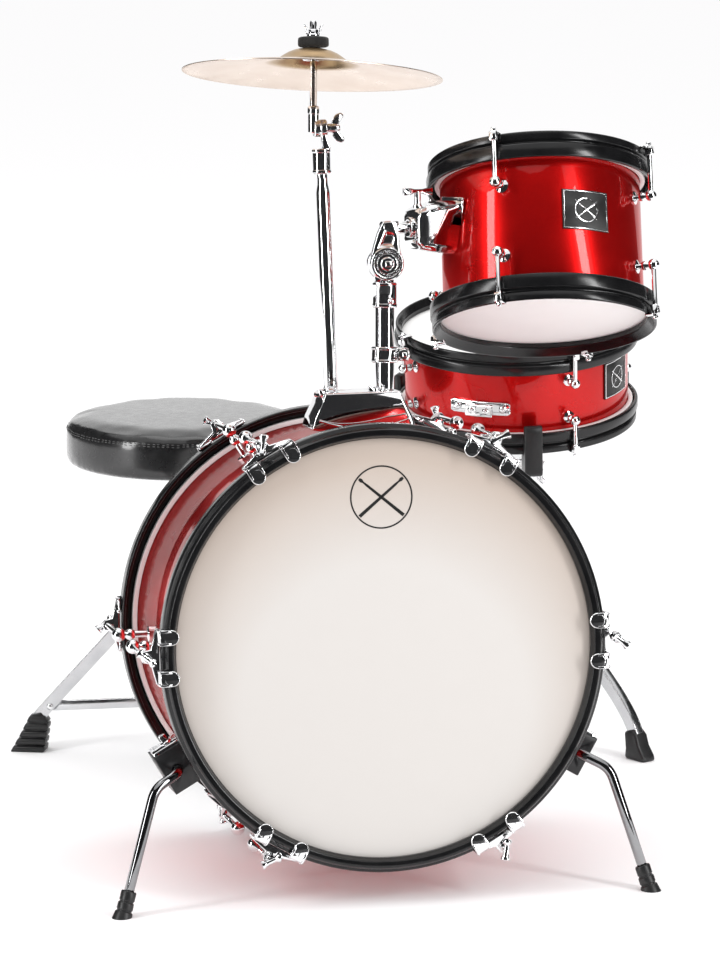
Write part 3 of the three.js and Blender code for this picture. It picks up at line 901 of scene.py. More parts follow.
seated(makeHousing(), bassPlace, "root", "chrome", "drum_mount_housing")
for number, (screwX, tilt) in enumerate(((-33, 30), (20, -8)), 1):
    screw = wingBolt("screw", 3.4, 7, 8.5, 7)
    spot = bassPlace @ moved(housing["middle"] + screwX - 6, 240, 20)
    spot = spot @ turned(-90, "X") @ turned(180) @ turned(tilt, "Y")
    seated(screw, spot, "root", "chrome").name = f"housing_wing_screw_{number}"
print("housing made")

# ---- cymbal post and tilter
cymbalSizes = {"pivot": 302, "rodShift": -7, "seat": 79.5}


def earDisc(name, low, high, radius):
    # a disc with a raised rim that turns about X
    rim = spun("rim", [
        (0, low), (radius, low), (radius, high - 1.2), (radius - 0.9, high), (radius - 2.6, high),
        (radius - 3.2, high - 0.7), (radius - 5, high - 0.7), (0, high - 0.7),
    ], 36, 0.25)
    rim.name = name
    return placed(rim, turned(90, "Y"))


tube = dressed(spun("cymbal_tube_polished", [
    (5.3, -72), (6.8, -72), (6.8, 238), (6.2, 242), (5.3, 246),
    (5.1, 251), (5.3, 256.6), (4, 256.6), (4, 240), (5.3, 236),
], 40, 0.2), chrome)
seated(tube, cymbalPost, "cymbal_post", "chrome", "cymbal_tube")
collar = spun("collar", [
    (0, 257.1), (8.6, 257.1), (9.5, 258), (9.5, 260.4), (8.9, 261),
    (8.9, 278), (9.5, 278.6), (9.5, 281), (8.4, 282), (0, 282),
], 40, 0.2)
cheek = slab("cheek", [(0.6, 281), (0.6, 302), (6, 302), (6, 290), (8.4, 284), (8.4, 281)], -5.6, 5.6, 0.8)
disc = shifted(earDisc("disc", 0.5, 6.2, 9), 0, 0, cymbalSizes["pivot"])
stub = placed(spun("stub", [(0, 6), (4.5, 6), (4.5, 10.6), (3.2, 11.8), (0, 11.8)], 28, 0.2),
              Matrix.Translation((0, 0, cymbalSizes["pivot"])) @ turned(90, "Y"))
wing = placed(wingBolt("wing", 4.6, 9, 15, 12),
    Matrix.Translation((10.5, 0, cymbalSizes["pivot"])) @ turned(90, "Y"))
base = dressed(joined("cymbal_tilter_base_cast", collar, cheek, disc, stub, wing), chrome)
seated(base, cymbalPost, "cymbal_post", "chrome", "cymbal_tilter_base")
rodPlace = frameAt(pivotOf("cymbal_tilt"), axisOf("cymbal_nut_turn"), axisOf("cymbal_tilt"))
seat = cymbalSizes["seat"]
rod = spun("rod", [
    (0, -5), (4.6, -5), (5.4, -4), (5.4, 14), (5.9, 14.6),
    (5.9, 20.6), (5.2, 22), (3.6, 22.4), (3.6, seat - 12),
    (3.6, seat + 26), (2.6, seat + 27.6), (0, seat + 28),
], 36, 0.15)
washer = spun("washer", [
    (3.4, seat - 12), (10, seat - 12), (11, seat - 11), (11, seat - 10), (10, seat - 9), (5.3, seat - 9),
    (5.0, seat - 3.2), (3.4, seat - 3.2),
], 40, 0.2)
rodSet = shifted(joined("rodSet", rod, washer), cymbalSizes["rodShift"])
rodEar = placed(earDisc("ear", 0.2, 6.8, 9), turned(180, "Z"))
rodSet = dressed(joined("cymbal_tilter_rod", rodSet, rodEar), chrome)
seated(rodSet, rodPlace, "cymbal_tilter", "chrome", "cymbal_rod")
nutPlace = rodPlace @ moved(cymbalSizes["rodShift"], 0, seat)
felt = dressed(spun("cymbal_felt_pad", [
    (4, 1.5), (13.6, 1.5), (15.2, 2.4), (15.5, 4.4), (15.4, 8.6), (15, 10.4), (13.2, 11.3), (4, 11.3),
], 48, 0.5), feltWool)
seated(felt, nutPlace, "cymbal_tilter", "felt", "cymbal_felt")
nut = spun("nut", [
    (3.9, 11.9), (6.4, 11.9), (6.4, 13.6), (5.6, 14.4), (5.2, 18.2), (4.6, 19), (3.9, 19),
], 28, 0.2)
wings = []
for side in (-1, 1):
    path = softCorners([(side * 3.6, 0, 13.4), (side * 7.2, 0, 15.4), (side * 6.6, 0, 20),
        (side * 9.4, 0, 24)], 2)
    wings.append(bentRod("wing", path, 1.1, 12))
nut = dressed(joined("cymbal_wing_nut_formed", nut, *wings), chrome)
seated(nut, nutPlace, "cymbal_nut", "chrome", "cymbal_wing_nut")

cymbalPlace = frameAt(pivotOf("cymbal_spin"), axisOf("cymbal_spin"))
brass = lathedBrass(cymbalPlace)
bow = [
    (5.4, 0.2), (12, -0.5), (19, -2.2), (25, -4.8), (30, -8),
    (34, -10.9), (38, -13.1), (42, -14.4), (50, -15.5),
    (64, -17), (80, -18.9), (96, -21), (112, -23.4), (124, -25.2), (130, -26.2),
]
under = [(radius, height - 1.1) for radius, height in reversed(bow)]
seated(dressed(spun("cymbal_lathed", bow + under, 160, 0.2), brass), cymbalPlace, "cymbal_disk",
    "cymbal_brass", "cymbal")
print("cymbal made")

# ---- tom holder
ratchet = frameAt(pivotOf("tom_ratchet_tilt"), postAxes["tom"])
armPlace = frameAt(pivotOf("tom_clamp_turn"), postAxes["tom"], axisOf("tom_clamp_turn"))
tube = spun("tom_tube_polished", [(7.9, -72), (9.5, -72), (9.5, 140), (8.8, 142), (7.9, 142)], 44, 0.2)
seated(dressed(tube, chrome), tomPost, "tom_post", "chrome", "tom_tube")
band = spun("band", [
    (9.9, 67), (12.6, 67), (13.6, 68), (13.6, 69.6), (13, 70.2),
    (13, 79.8), (13.6, 80.4), (13.6, 82), (12.6, 83), (9.9, 83),
], 44, 0.2)
ears = [slab("ear", [(11.5, 68.5), (23.5, 68.5), (23.5, 81.5), (11.5, 81.5)], low, low + 3.4, 1.2)
    for low in (-5, 1.6)]
bolt = placed(squareBolt("bolt", 3.6, 7), Matrix.Translation((18.5, -5, 75)) @ turned(90, "X"))
nutBack = placed(squareBolt("nut", 3.2, 5), Matrix.Translation((18.5, 5, 75)) @ turned(-90, "X"))
lock = dressed(joined("tom_memory_lock_clamp", band, *ears, bolt, nutBack), chrome)
seated(lock, tomPost, "tom_post", "chrome", "tom_memory_lock")


def ratchetDisc(name, low, high, radius, bolt=True):
    # a drum on its side with a rim, a knurled ring and a key bolt; it faces -Y
    face = spun("face", [
        (0, low), (radius - 1.4, low), (radius, low + 1.2), (radius, high - 1.2), (radius - 1.2, high),
        (radius - 3, high), (radius - 3.6, high - 1.1),
        (radius - 6.4, high - 1.1), (radius - 7, high - 0.2),
        (radius - 8, high - 0.2), (0, high - 0.2),
    ], 56, 0.3)
    parts = [face]
    if bolt:
        key = placed(squareBolt("key", 4.4, 6.4, 7.2), Matrix.Translation((0, 0, high - 0.2)))
        tooth = slab("tooth", [(radius - 6.2, 0), (radius - 3.8, 0), (radius - 3.8, 0.9),
            (radius - 6.2, 0.9)], -0.45, 0.45, 0.15, 1)
        shifted(tooth, 0, 0, high - 1.3)
        for k in range(36):
            parts.append(placed(copyOf(tooth, "tooth"), turned(10 * k)))
        bpy.data.objects.remove(tooth)
        parts.append(key)
    return placed(joined(name, *parts), turned(90, "X"))


collar = spun("collar", [
    (9.9, 122), (11.6, 122), (12.5, 123), (12.5, 125.6), (12, 126.2),
    (12, 144), (12.5, 144.8), (12.2, 146.6), (11, 147.4),
    (9.9, 147.4),
], 44, 0.2)
neck = slab("neck", [(-9, 145), (9, 145), (11, 155), (12, 164), (-12, 164), (-11, 155)], 1.2, 12.6, 1.4)
backDisc = shifted(placed(ratchetDisc("disc", 0.5, 12.8, 17, False), turned(180)), 0, 0, 166)
setScrew = placed(squareBolt("setScrew", 2.4, 3.6, 3.4),
    Matrix.Translation((4, -11.4, 129)) @ turned(90, "X"))
base = dressed(joined("tom_ratchet_base_cast", collar, neck, backDisc, setScrew), chrome)
seated(base, tomPost, "tom_swivel_base", "chrome", "tom_ratchet_base")
arm = slab("arm", [
    (-16.4, 3), (-14.2, 14), (-9.6, 30), (-6.4, 38.4), (-4.4, 41.4),
    (-1.4, 42.8), (12, 42.8), (12, 30), (13.4, 14), (16.4, 3),
], -12.6, -1.6, 1.8)
window = slab("window", [(-4.6, 20), (4.8, 20), (6.4, 28.4), (-1.6, 28.4)], -20, -8.4, 0.8)
bored(arm, window)
frontDisc = ratchetDisc("disc", 0.4, 13.6, 17)
toArm = Matrix.Scale(1 / mm, 4) @ ratchet.inverted() @ armPlace @ Matrix.Scale(mm, 4)
bar = placed(spun("bar", [
    (0, -2), (6.2, -2), (6.2, 24), (5.4, 24.8), (5.4, 27.4), (6.2, 28.2), (6.2, 65), (5, 66), (0, 66),
], 40, 0.2), toArm @ turned(90, "Y"))
armSet = dressed(joined("tom_ratchet_arm_cast", arm, frontDisc, bar), chrome)
seated(armSet, ratchet, "tom_arm", "chrome", "tom_ratchet_arm")
print("tom holder made")

# ---- tom and snare
smallRim = {"lipLow": 12.9, "lipHigh": 7.9, "inner": 5.4, "ledge": 1.6, "groove": 10, "waist": 4.6}
tom = {
    "shellRadius": 101.5, "wall": 5, "half": 87, "inset": 15,
    "sides": 128, "hoopRadius": 115, "hoopWidth": 27,
    "lipRadius": 104.1, "hoopStep": smallRim, "rodRadius": 119.6, "ball": 5.9, "lugAt": 36,
    "stations": (-124, -34, 56, 146), "badgeAt": (-76, 9),
}
snare = {
    "shellRadius": 124, "wall": 5, "half": 57, "inset": 15,
    "sides": 144, "hoopRadius": 135, "hoopWidth": 24,
    "lipRadius": 126.6, "hoopStep": smallRim, "rodRadius": 139.6, "ball": 5.6, "lugAt": 21,
    "stations": (-75, 15, 105, 195), "badgeAt": (-40, 8), "buttAt": (-121, -7), "strainerTurn": 78,
}
topTom, bottomTom = middleOf("tom_top_head"), middleOf("tom_bottom_head")
tomPlace = frameAt((topTom + bottomTom) / 2, topTom - bottomTom)
snarePlace = frameAt((middleOf("snare_batter_head") + middleOf("snare_wire_side_head")) / 2,
    axisOf("snare_lift"))


def makeRodSet(size):
    # key rod from the lug's ball through a small claw on the rim
    lug, face, reach, outer = size["lugAt"], size["half"], size["rodRadius"], size["hoopRadius"]
    rod = spun("rod", [
        (0, lug + 3), (2.5, lug + 3), (2.5, face - 2),
        (3.9, face - 1.6), (3.9, face + 0.6), (0, face + 0.6),
    ], 24, 0.2)
    head = spun("key", [(0, face), (3.2, face), (3.2, face + 4.6), (2.4, face + 5.4), (0, face + 5.4)],
        4, 0.4)
    placed(head, turned(45))
    clawOutline = [
        (outer - 5.6 - reach, face - 3.2), (outer - 5.6 - reach, face + 1.2),
        (3.6, face + 1.2), (4.2, face - 0.4),
        (4.2, face - 7), (2.6, face - 9), (outer + 0.5 - reach, face - 9),
        (outer + 0.5 - reach, face + 0.2),
        (outer - 4.2 - reach, face + 0.2), (outer - 4.2 - reach, face - 3.2),
    ]
    hook = slab("claw", clawOutline, -3.8, 3.8, 0.9)
    return dressed(shifted(joined("rodSet", rod, head, hook), reach), chrome)


def makeBadge(size):
    # curved plate with a plain ring mark and no lettering; X is round the shell, Z up
    plate = slab("plate", [(-25, -20.5), (25, -20.5), (25, 20.5), (-25, 20.5)], -1.2, 0.2, 0.3)
    frameBar = [
        slab("bar", [(-23.9, z - 0.5), (23.9, z - 0.5), (23.9, z + 0.5), (-23.9, z + 0.5)], -1.6, -0.6,
            0.2) for z in (-19.2, 19.2)
    ] + [slab("bar", [(x - 0.5, -19.6), (x + 0.5, -19.6), (x + 0.5, 19.6), (x - 0.5, 19.6)], -1.6, -0.6,
        0.2) for x in (-23.4, 23.4)]
    ring = placed(spun("ring", [(11.6, 0.6), (12.6, 0.6), (12.6, 1.6), (11.6, 1.6)], 48, 0.15),
        turned(90, "X"))
    stick = slab("stick", [(-15, -0.5), (11, -0.9), (15, -0.5), (15, 0.5), (11, 0.9), (-15, 0.5)], -1.8,
        -0.6, 0.25)
    marks = [ring, placed(copyOf(stick, "stick"), turned(38, "Y")), placed(stick, turned(-38, "Y"))]
    dressed(plate, printInk)
    for mark in (*frameBar, *marks):
        dressed(mark, chrome)
    badge = joined("badge", plate, *frameBar, *marks)
    edit(badge)
    bpy.ops.mesh.subdivide(number_cuts=2)
    bpy.ops.object.mode_set(mode="OBJECT")
    radius = size["shellRadius"]
    for vertex in badge.data.vertices:  # wrapped round the shell
        angle, out = vertex.co.x / radius, radius - vertex.co.y
        vertex.co = (out * math.sin(angle), radius - out * math.cos(angle), vertex.co.z)
    bpy.ops.object.shade_smooth_by_angle(angle=math.radians(35))
    return placed(badge, Matrix.Translation((0, -radius - 0.3, 0)))


def addFittings(name, size, place, body):
    rodSet, lug = makeRodSet(size), ballLug("lug", size)
    for way, label in ((Matrix(), "upper"), (turned(180, "X"), "lower")):
        for number, station in enumerate(size["stations"], 1):
            turn = station if label == "upper" else -station
            seated(copyOf(rodSet, f"{name}_{label}_rod_{number}"), place @ way @ turned(turn), body,
                "chrome")
            spot = place @ way @ onStation(turn, size["lugAt"]) @ moved(0, 0, size["shellRadius"])
            seated(copyOf(lug, f"{name}_{label}_lug_{number}"), spot, body, "chrome")
    bpy.data.objects.remove(rodSet)
    bpy.data.objects.remove(lug)
    angle, height = size["badgeAt"]
    badgePlace = place @ turned(angle + 90) @ moved(0, 0, height)
    seated(makeBadge(size), badgePlace, body, "black_plastic").name = f"{name}_badge"


tomShell = addDrum("tom", tom, tomPlace, "tom", ("top", "bottom"), (whiteHead, whiteHead))
seated(tomShell, tomPlace, "tom", "candy_red_lacquer", "tom_shell")
addFittings("tom", tom, tomPlace, "tom")
bracket = slab("bracket", [
    (30, -17), (36, -22), (60, -26), (84, -27), (84, 27), (60, 26), (42, 22), (30, 17),
], -20, 20, 7.5, 6)
flange = slab("flange", [(76, -30), (79, -30), (79, 30), (76, 30)], -23, 23, 1.2)
mouth = placed(spun("mouth", [
    (6.6, 26.8), (9.6, 26.8), (10.4, 27.6), (10.4, 31), (6.6, 31),
], 40, 0.3), turned(90, "Y"))
throat = placed(spun("throat", [(0, 20), (6.6, 20), (6.6, 68.5), (0, 68.5)], 40, 0), turned(90, "Y"))
bored(bracket, throat)
handle = placed(teeBolt("handle", 17, 18, 3.2), Matrix.Translation((38, 0, 19)) @ turned(12))
toTom = Matrix.Scale(1 / mm, 4) @ tomPlace.inverted() @ armPlace @ Matrix.Scale(mm, 4)
drumRound = spun("drumRound", [(0, -90), (101.9, -90), (101.9, 90), (0, 90)], 128, 0)
bored(placed(flange, toTom), copyOf(drumRound, "drumRound"))
bored(placed(bracket, toTom), drumRound)
block = dressed(joined("block", bracket, flange), chrome)
handle = placed(joined("handle", handle, mouth), toTom)
bracket = joined("tom_bracket_cast", block, dressed(handle, chrome))
seated(bracket, tomPlace, "tom", "chrome", "tom_bracket")
print("tom made")

snareShell = addDrum("snare", snare, snarePlace, "snare_drum", ("batter", "wire_side"),
    (whiteHead, whiteHead))
seated(snareShell, snarePlace, "snare_drum", "candy_red_lacquer", "snare_shell")
addFittings("snare", snare, snarePlace, "snare_drum")


def makeStrainer():
    # casting on the shell with the lever's pocket and the clamp for the wires; X is outwards
    body = slab("body", [(124, -25), (131, -25), (134, -21), (134, 22), (131, 26), (124, 26)], -12, 12, 1.6)
    pocket = slab("pocket", [(127.3, -8), (140, -8), (140, 30), (127.3, 30)], -4.4, 4.4, 0)
    bored(body, pocket)
    foot = slab("foot", [(123.6, -31), (127, -31), (127, 29), (123.6, 29)], -15, 15, 1.2)
    bored(foot, slab("shellRound", [(100, -40), (124.2, -40), (124.2, 40), (100, 40)], -40, 40, 0))
    knob = placed(spun("knob", [(0, 0), (6, 0), (6.4, 1), (6.4, 6), (5.6, 7), (0, 7)], 20, 0.4),
                  Matrix.Translation((130, 0, -31)) @ turned(180, "X"))
    return dressed(joined("snare_strainer", body, foot, knob), chrome)


strainerPlace = snarePlace @ turned(snare["strainerTurn"])
seated(makeStrainer(), strainerPlace, "snare_drum", "chrome")
refined("strainer_lever", "strainer_throw_off", chrome, 0.8)

butt = slab("butt", [(-34, -6), (-30, -7.5), (30, -7.5), (34, -6), (34, 6), (30, 7.5), (-30, 7.5),
    (-34, 6)], -3.2, -0.2, 0.9)
bridge = slab("bridge", [(-15, -9), (15, -9), (15, 5), (-15, 5)], -7, -2.6, 1.4)
screws = [placed(squareBolt("screw", 2.6, 4.2, 4.4), Matrix.Translation((x, -3, 0)) @ turned(90, "X"))
    for x in (-26, 26)]
screws += [placed(squareBolt("screw", 2.4, 4, 3.6), Matrix.Translation((x, -6.8, -2)) @ turned(90, "X"))
    for x in (-8, 8)]
butt = dressed(joined("snare_butt_plate", butt, bridge, *screws), chrome)
edit(butt)
bpy.ops.mesh.subdivide(number_cuts=1)
bpy.ops.object.mode_set(mode="OBJECT")
for vertex in butt.data.vertices:
    angle, out = vertex.co.x / snare["shellRadius"], snare["shellRadius"] - vertex.co.y
    vertex.co = (out * math.sin(angle), -out * math.cos(angle), vertex.co.z)
seated(butt, snarePlace @ turned(snare["buttAt"][0] + 90) @ moved(0, 0, snare["buttAt"][1]),
    "snare_drum", "chrome")


def makeWires():
    # coiled wires across the bottom head, soldered to two end plates
    low = -(snare["half"] - snare["inset"]) - 3.4
    wires = []
    turns, half, pitch = 34, 98, 3.6
    wire = []
    for k in range(turns * 6 + 1):
        angle = k / 6 * fullTurn
        wire.append((-half + 2 * half * k / (turns * 6), 0.9 * math.cos(angle), 0.9 * math.sin(angle)))
    master = bentRod("wire", wire, 0.35, 4, 0)
    for k in range(12):
        wires.append(shifted(copyOf(master, "wire"), 0, (k - 5.5) * pitch, low))
    bpy.data.objects.remove(master)
    for side in (-1, 1):
        end = slab("end", [(-6, -0.7), (6, -0.7), (6, 0.7), (-6, 0.7)], -23, 23, 0.4)
        wires.append(shifted(end, side * (half + 4), 0, low))
    return dressed(joined("snare_wires", *wires), chrome)


seated(makeWires(), snarePlace @ turned(snare["strainerTurn"] - 8), "snare_drum", "chrome")
print("snare made")

# ---- folding tripods: both are made alike, the throne's is wider
stand = {
    "tubeRadius": 10, "tubeLow": 42, "tubeTop": 250, "collarAt": 165,
    "hubAt": 66, "joint": (113, 92), "strutHalf": 4.4,
    "line": [(20, 167), (75, 137), (130, 99), (172, 64), (196, 38), (203, 22)], "bend": 16,
    "foot": [(191, 0), (223, 0), (221, 7), (213, 17), (209, 28), (202, 34), (190, 30), (192, 12)],
}
throne = {
    "tubeRadius": 11, "tubeLow": 46, "tubeTop": 300, "collarAt": 194,
    "hubAt": 60, "joint": (150, 51), "strutHalf": 5.6,
    "line": [(21.5, 196.8), (152, 52), (165, 37)], "bend": 9,
    "footInner": [(156, 0), (151, 34), (158, 43)], "footOuter": [(194, 0), (184, 18), (172, 42)], "ribs": 5,
}
upwards = Vector((0, 0, 1))
pivotReach = {"leg": 24, "strut": 20}


def legPlaceOf(name, kind, number):
    joint = f"{name}_{kind}_{number}_swing"
    across = axisOf(joint).cross(upwards) * (1 if kind == "leg" else -1)
    return frameAt(pivotOf(joint), upwards, across)


def tripodPlaceOf(name):
    pivots = [pivotOf(f"{name}_leg_{number}_swing") for number in (1, 2, 3)]
    middle = sum(pivots, Vector()) / 3
    return frameAt((middle.x, middle.y, 0), upwards, pivots[0] - middle)


def between(line, height):
    # the X of a line in X and Z at one height
    for (x0, z0), (x1, z1) in zip(line, line[1:]):
        if z0 <= height <= z1:
            return x0 + (x1 - x0) * (height - z0) / (z1 - z0)
    return line[-1][0]


def makeRibbedFoot(size):
    inner, outer, top = size["footInner"], size["footOuter"], size["footOuter"][-1][1]
    core = slab("core", [(x + 2.4, z + 0.6) for x, z in inner] + [(x - 2.4, z)
        for x, z in reversed(outer[1:])]
                + [(outer[0][0] - 3.4, 0.6)], -8.6, 8.6, 1.2)
    parts = [core]
    pitch = top / size["ribs"]
    for k in range(size["ribs"]):
        low, high = k * pitch, (k + 1) * pitch - 1.7
        half = 13 - 0.85 * k
        outline = [(between(inner, low), low), (between(outer, low), low), (between(outer, high), high),
            (between(inner, high), high)]
        parts.append(slab("rib", outline, -half, half, 1.9, 4))
    return dressed(joined("foot", *parts), rubber)


def makeLeg(size):
    # channel strip: two cheeks under a web
    line = flatSoft(size["line"], size["bend"])
    cheeks = [slab("cheek", bandOutline(line, 7, 7), low, low + 2.3, 0.5, 2) for low in (-5.2, 2.9)]
    web = slab("web", bandOutline(line, 7, -4.8), -5.2, 5.2, 0.9, 3)
    pins = []
    for at in (size["joint"], (pivotReach["leg"], size["collarAt"])):
        for side in (-1, 1):
            spot = Matrix.Translation((at[0], 5.2 * side, at[1])) @ turned(-90 * side, "X")
            pins.append(placed(rivet("rivet", 3.6), spot))
    strip = dressed(joined("strip", *cheeks, web), zinc)
    return joined("leg", strip, *pins)


def makeHub(name, size, place, body):
    radius, low, top, hubAt = size["tubeRadius"], size["tubeLow"], size["tubeTop"], size["hubAt"]
    tube = spun("tube", [
        (0, low), (radius - 2, low), (radius, low + 2),
        (radius, top - 1), (radius - 0.8, top), (radius - 1.8, top),
        (radius - 1.8, low + 12), (0, low + 12),
    ], 44, 0.2)
    hub = spun("hub", [
        (radius - 1, hubAt - 8), (23.4, hubAt - 8), (25, hubAt - 6),
        (25, hubAt + 6), (23.4, hubAt + 8), (radius - 1, hubAt + 8),
    ], 60, 0.3)
    slots = []
    for k in range(3):
        cutter = slab("slot", [(14, hubAt - 20), (40, hubAt - 20), (40, hubAt + 20), (14, hubAt + 20)],
            -2.7, 2.7, 0)
        slots.append(placed(cutter, turned(120 * k)))
    bored(hub, *slots)
    pins = []
    for k in range(3):
        pin = spun("pin", [(0, -6), (2.2, -6), (2.2, 6), (0, 6)], 16, 0.3)
        pinPlace = turned(120 * k) @ Matrix.Translation((pivotReach["strut"], 0, hubAt)) @ turned(90, "X")
        pins.append(placed(pin, pinPlace))
    cap = spun("cap", [(0, low - 0.2), (radius - 3, low - 0.2), (radius - 2.4, low + 1), (0, low + 1)],
        40, 0.2)
    hub = dressed(joined(f"{name}_base_tube_finished", tube, hub, *pins, cap), chrome)
    seated(hub, place, body, "chrome", f"{name}_base_tube")
    # a black bush lies on the tube's mouth round the inner post
    bush = dressed(spun(f"{name}_tube_bush", [
        (radius - 1.7, top + 0.1), (radius - 0.1, top + 0.1),
        (radius - 0.1, top + 1.6), (radius - 0.6, top + 2.4),
        (radius - 1.7, top + 2.4),
    ], 44, 0.2), plastic)
    seated(bush, place, body, "black_plastic")


def makeCollar(name, size, place, body):
    radius, at = size["tubeRadius"], size["collarAt"]
    ring = spun("ring", [
        (radius + 0.4, at - 11), (radius + 2.6, at - 11), (radius + 3.5, at - 10), (radius + 3.5, at + 10),
        (radius + 2.6, at + 11), (radius + 0.4, at + 11),
    ], 44, 0.3)
    parts = [ring]
    for k in range(3):
        ear = slab("ear", [(12, at - 3), (24.5, at - 3), (26.5, at - 1), (26.5, at + 1.6), (25, at + 3),
            (12, at + 3)], -2.1, 2.1, 0.6)
        parts.append(placed(ear, turned(120 * k)))
    screw = placed(wingBolt("screw", 4.2, 10, 12, 9),
        turned(60) @ Matrix.Translation((radius + 3, 0, at)) @ turned(90, "Y"))
    collar = dressed(joined(f"{name}_collar_finished", *parts, screw), chrome)
    seated(collar, place, body, "chrome", f"{name}_collar")


def addTripod(name, size, foot):
    place = tripodPlaceOf(name)
    makeHub(name, size, place, f"{name}_base")
    makeCollar(name, size, place, f"{name}_leg_collar")
    leg = makeLeg(size)
    half = size["strutHalf"]
    run = (size["joint"][0] - pivotReach["strut"], size["joint"][1] - size["hubAt"])
    long = math.hypot(*run)
    strut = slab("strut", [(-3, -3.6), (10, -half), (long - 4, -half), (long + 2, -half + 2),
        (long + 2, half - 2),
                           (long - 4, half), (10, half), (-3, 3.6)], -1.9, 1.9, 0.7, 3)
    dressed(placed(strut, turned(-math.degrees(math.atan2(run[1], run[0])), "Y")), zinc)
    for number in (1, 2, 3):
        legPlace = legPlaceOf(name, "leg", number)
        offset = legPlace @ moved(-pivotReach["leg"], 0, -size["collarAt"])
        body = f"{name}_leg_{number}_body"
        seated(copyOf(leg, f"{name}_leg_{number}_strip"), offset, body, "chrome", f"{name}_leg_{number}")
        seated(copyOf(foot, f"{name}_leg_{number}_foot"), offset, body, "rubber")
        strutBody = f"{name}_strut_{number}_body"
        seated(copyOf(strut, f"{name}_strut_{number}_strip"), legPlaceOf(name, "strut", number),
            strutBody, "chrome",
               f"{name}_strut_{number}")
    for master in (leg, strut, foot):
        bpy.data.objects.remove(master)
    return place


plainFoot = dressed(slab("foot", stand["foot"], -9.5, 9.5, 3.4, 5), rubber)
standPlace = addTripod("stand", stand, plainFoot)
thronePlace = addTripod("throne", throne, makeRibbedFoot(throne))
print("tripods made")

# ---- the stand's post and basket
basket = {"reach": 117, "gripTop": 92, "rimUnder": 55.65, "postTop": 272.3}
top = basket["postTop"]
post = dressed(spun("stand_post_finished", [
    (0, 110), (6.6, 110), (7.5, 111), (7.5, top - 8), (10.4, top - 6),
    (11, top - 5), (11, top + 3), (10, top + 4), (0, top + 4),
], 44, 0.3), chrome)
seated(post, standPlace, "stand_upper", "chrome", "stand_post")
basketPlace = frameAt(pivotOf("basket_tilt"), axisOf("snare_lift"),
    axisOf("basket_arm_1_open").cross(axisOf("snare_lift")))
hub = spun("hub", [
    (0, -8.6), (14, -8.6), (22, -5), (24, -2), (24, 12), (22.6, 14), (20, 15), (0, 15),
], 60, 0.3)
slots = []
for k in range(3):
    slots.append(placed(slab("slot", [(11, 3), (40, 3), (40, 40), (11, 40)], -5, 5, 0), turned(120 * k)))
bored(hub, *slots)
pins = []
for k in range(3):
    pin = spun("pin", [(0, -7), (2.4, -7), (2.4, 7), (0, 7)], 16, 0.3)
    pins.append(placed(pin, turned(120 * k) @ Matrix.Translation((18, 0, 9)) @ turned(90, "X")))
wing = placed(wingBolt("wing", 5, 9, 14, 11), turned(60) @ Matrix.Translation((22, 0, 3)) @ turned(90, "Y"))
seated(dressed(joined("basket_hub_finished", hub, *pins, wing), chrome), basketPlace, "basket",
    "chrome", "basket_hub")
reach = basket["reach"]
armLine = flatSoft([(-2, -0.5), (reach - 24, 31), (reach + 4, 37)], 14)
armStrip = dressed(slab("arm", bandOutline(armLine, 3.8, 3.8), -3.6, 3.6, 0.9, 3), chrome)
low, high, ledge = 34, basket["gripTop"], basket["rimUnder"]
grip = slab("grip", [
    (reach - 18, low), (reach + 9, low), (reach + 12, low + 4),
    (reach + 12, high - 8), (reach + 9.6, high - 1.4),
    (reach + 6, high), (reach + 2, high - 2), (reach + 1.2, high - 7),
    (reach + 1.2, ledge + 1), (reach - 1, ledge - 0.4),
    (reach - 16, ledge - 0.4), (reach - 18, ledge - 2.4),
], -9.8, 9.8, 2.0, 4)
dressed(grip, rubber)
for number in (1, 2, 3):
    joint = f"basket_arm_{number}_open"
    place = frameAt(pivotOf(joint), axisOf("snare_lift"), axisOf(joint).cross(axisOf("snare_lift")))
    body = f"basket_grip_{number}"
    seated(copyOf(armStrip, f"basket_arm_{number}_strip"), place, body, "chrome", f"basket_arm_{number}")
    seated(copyOf(grip, f"basket_arm_{number}_grip"), place, body, "rubber")
bpy.data.objects.remove(armStrip)
bpy.data.objects.remove(grip)
print("basket made")

# ---- throne post and cushion
cushion = {
    "radius": 127, "low": 329, "high": 378, "edge": 6, "voxel": 4.5, "pressure": 4.0,
    "sideCap": 2.6, "topCap": 4.5, "sink": 0.3, "seamDepth": 1.1, "stitches": 150, "stitchLength": 3.2,
}
post = dressed(spun("throne_post_finished", [
    (0, 150), (7.8, 150), (8.8, 151), (8.8, 304), (13, 304.6),
    (13, 318), (20, 321.6), (46.6, 321.6), (48, 322.4),
    (48, 324.8), (47, 325.6), (0, 325.6),
], 60, 0.3), chrome)
bolts = []
for k in range(4):
    bolt = placed(squareBolt("bolt", 3.4, 4, 6),
        turned(90 * k + 45) @ Matrix.Translation((36, 0, 321.6)) @ turned(180, "X"))
    bolts.append(bolt)
seated(joined("throne_post_finished", post, *bolts), thronePlace, "throne_seat_post", "chrome",
    "throne_post")


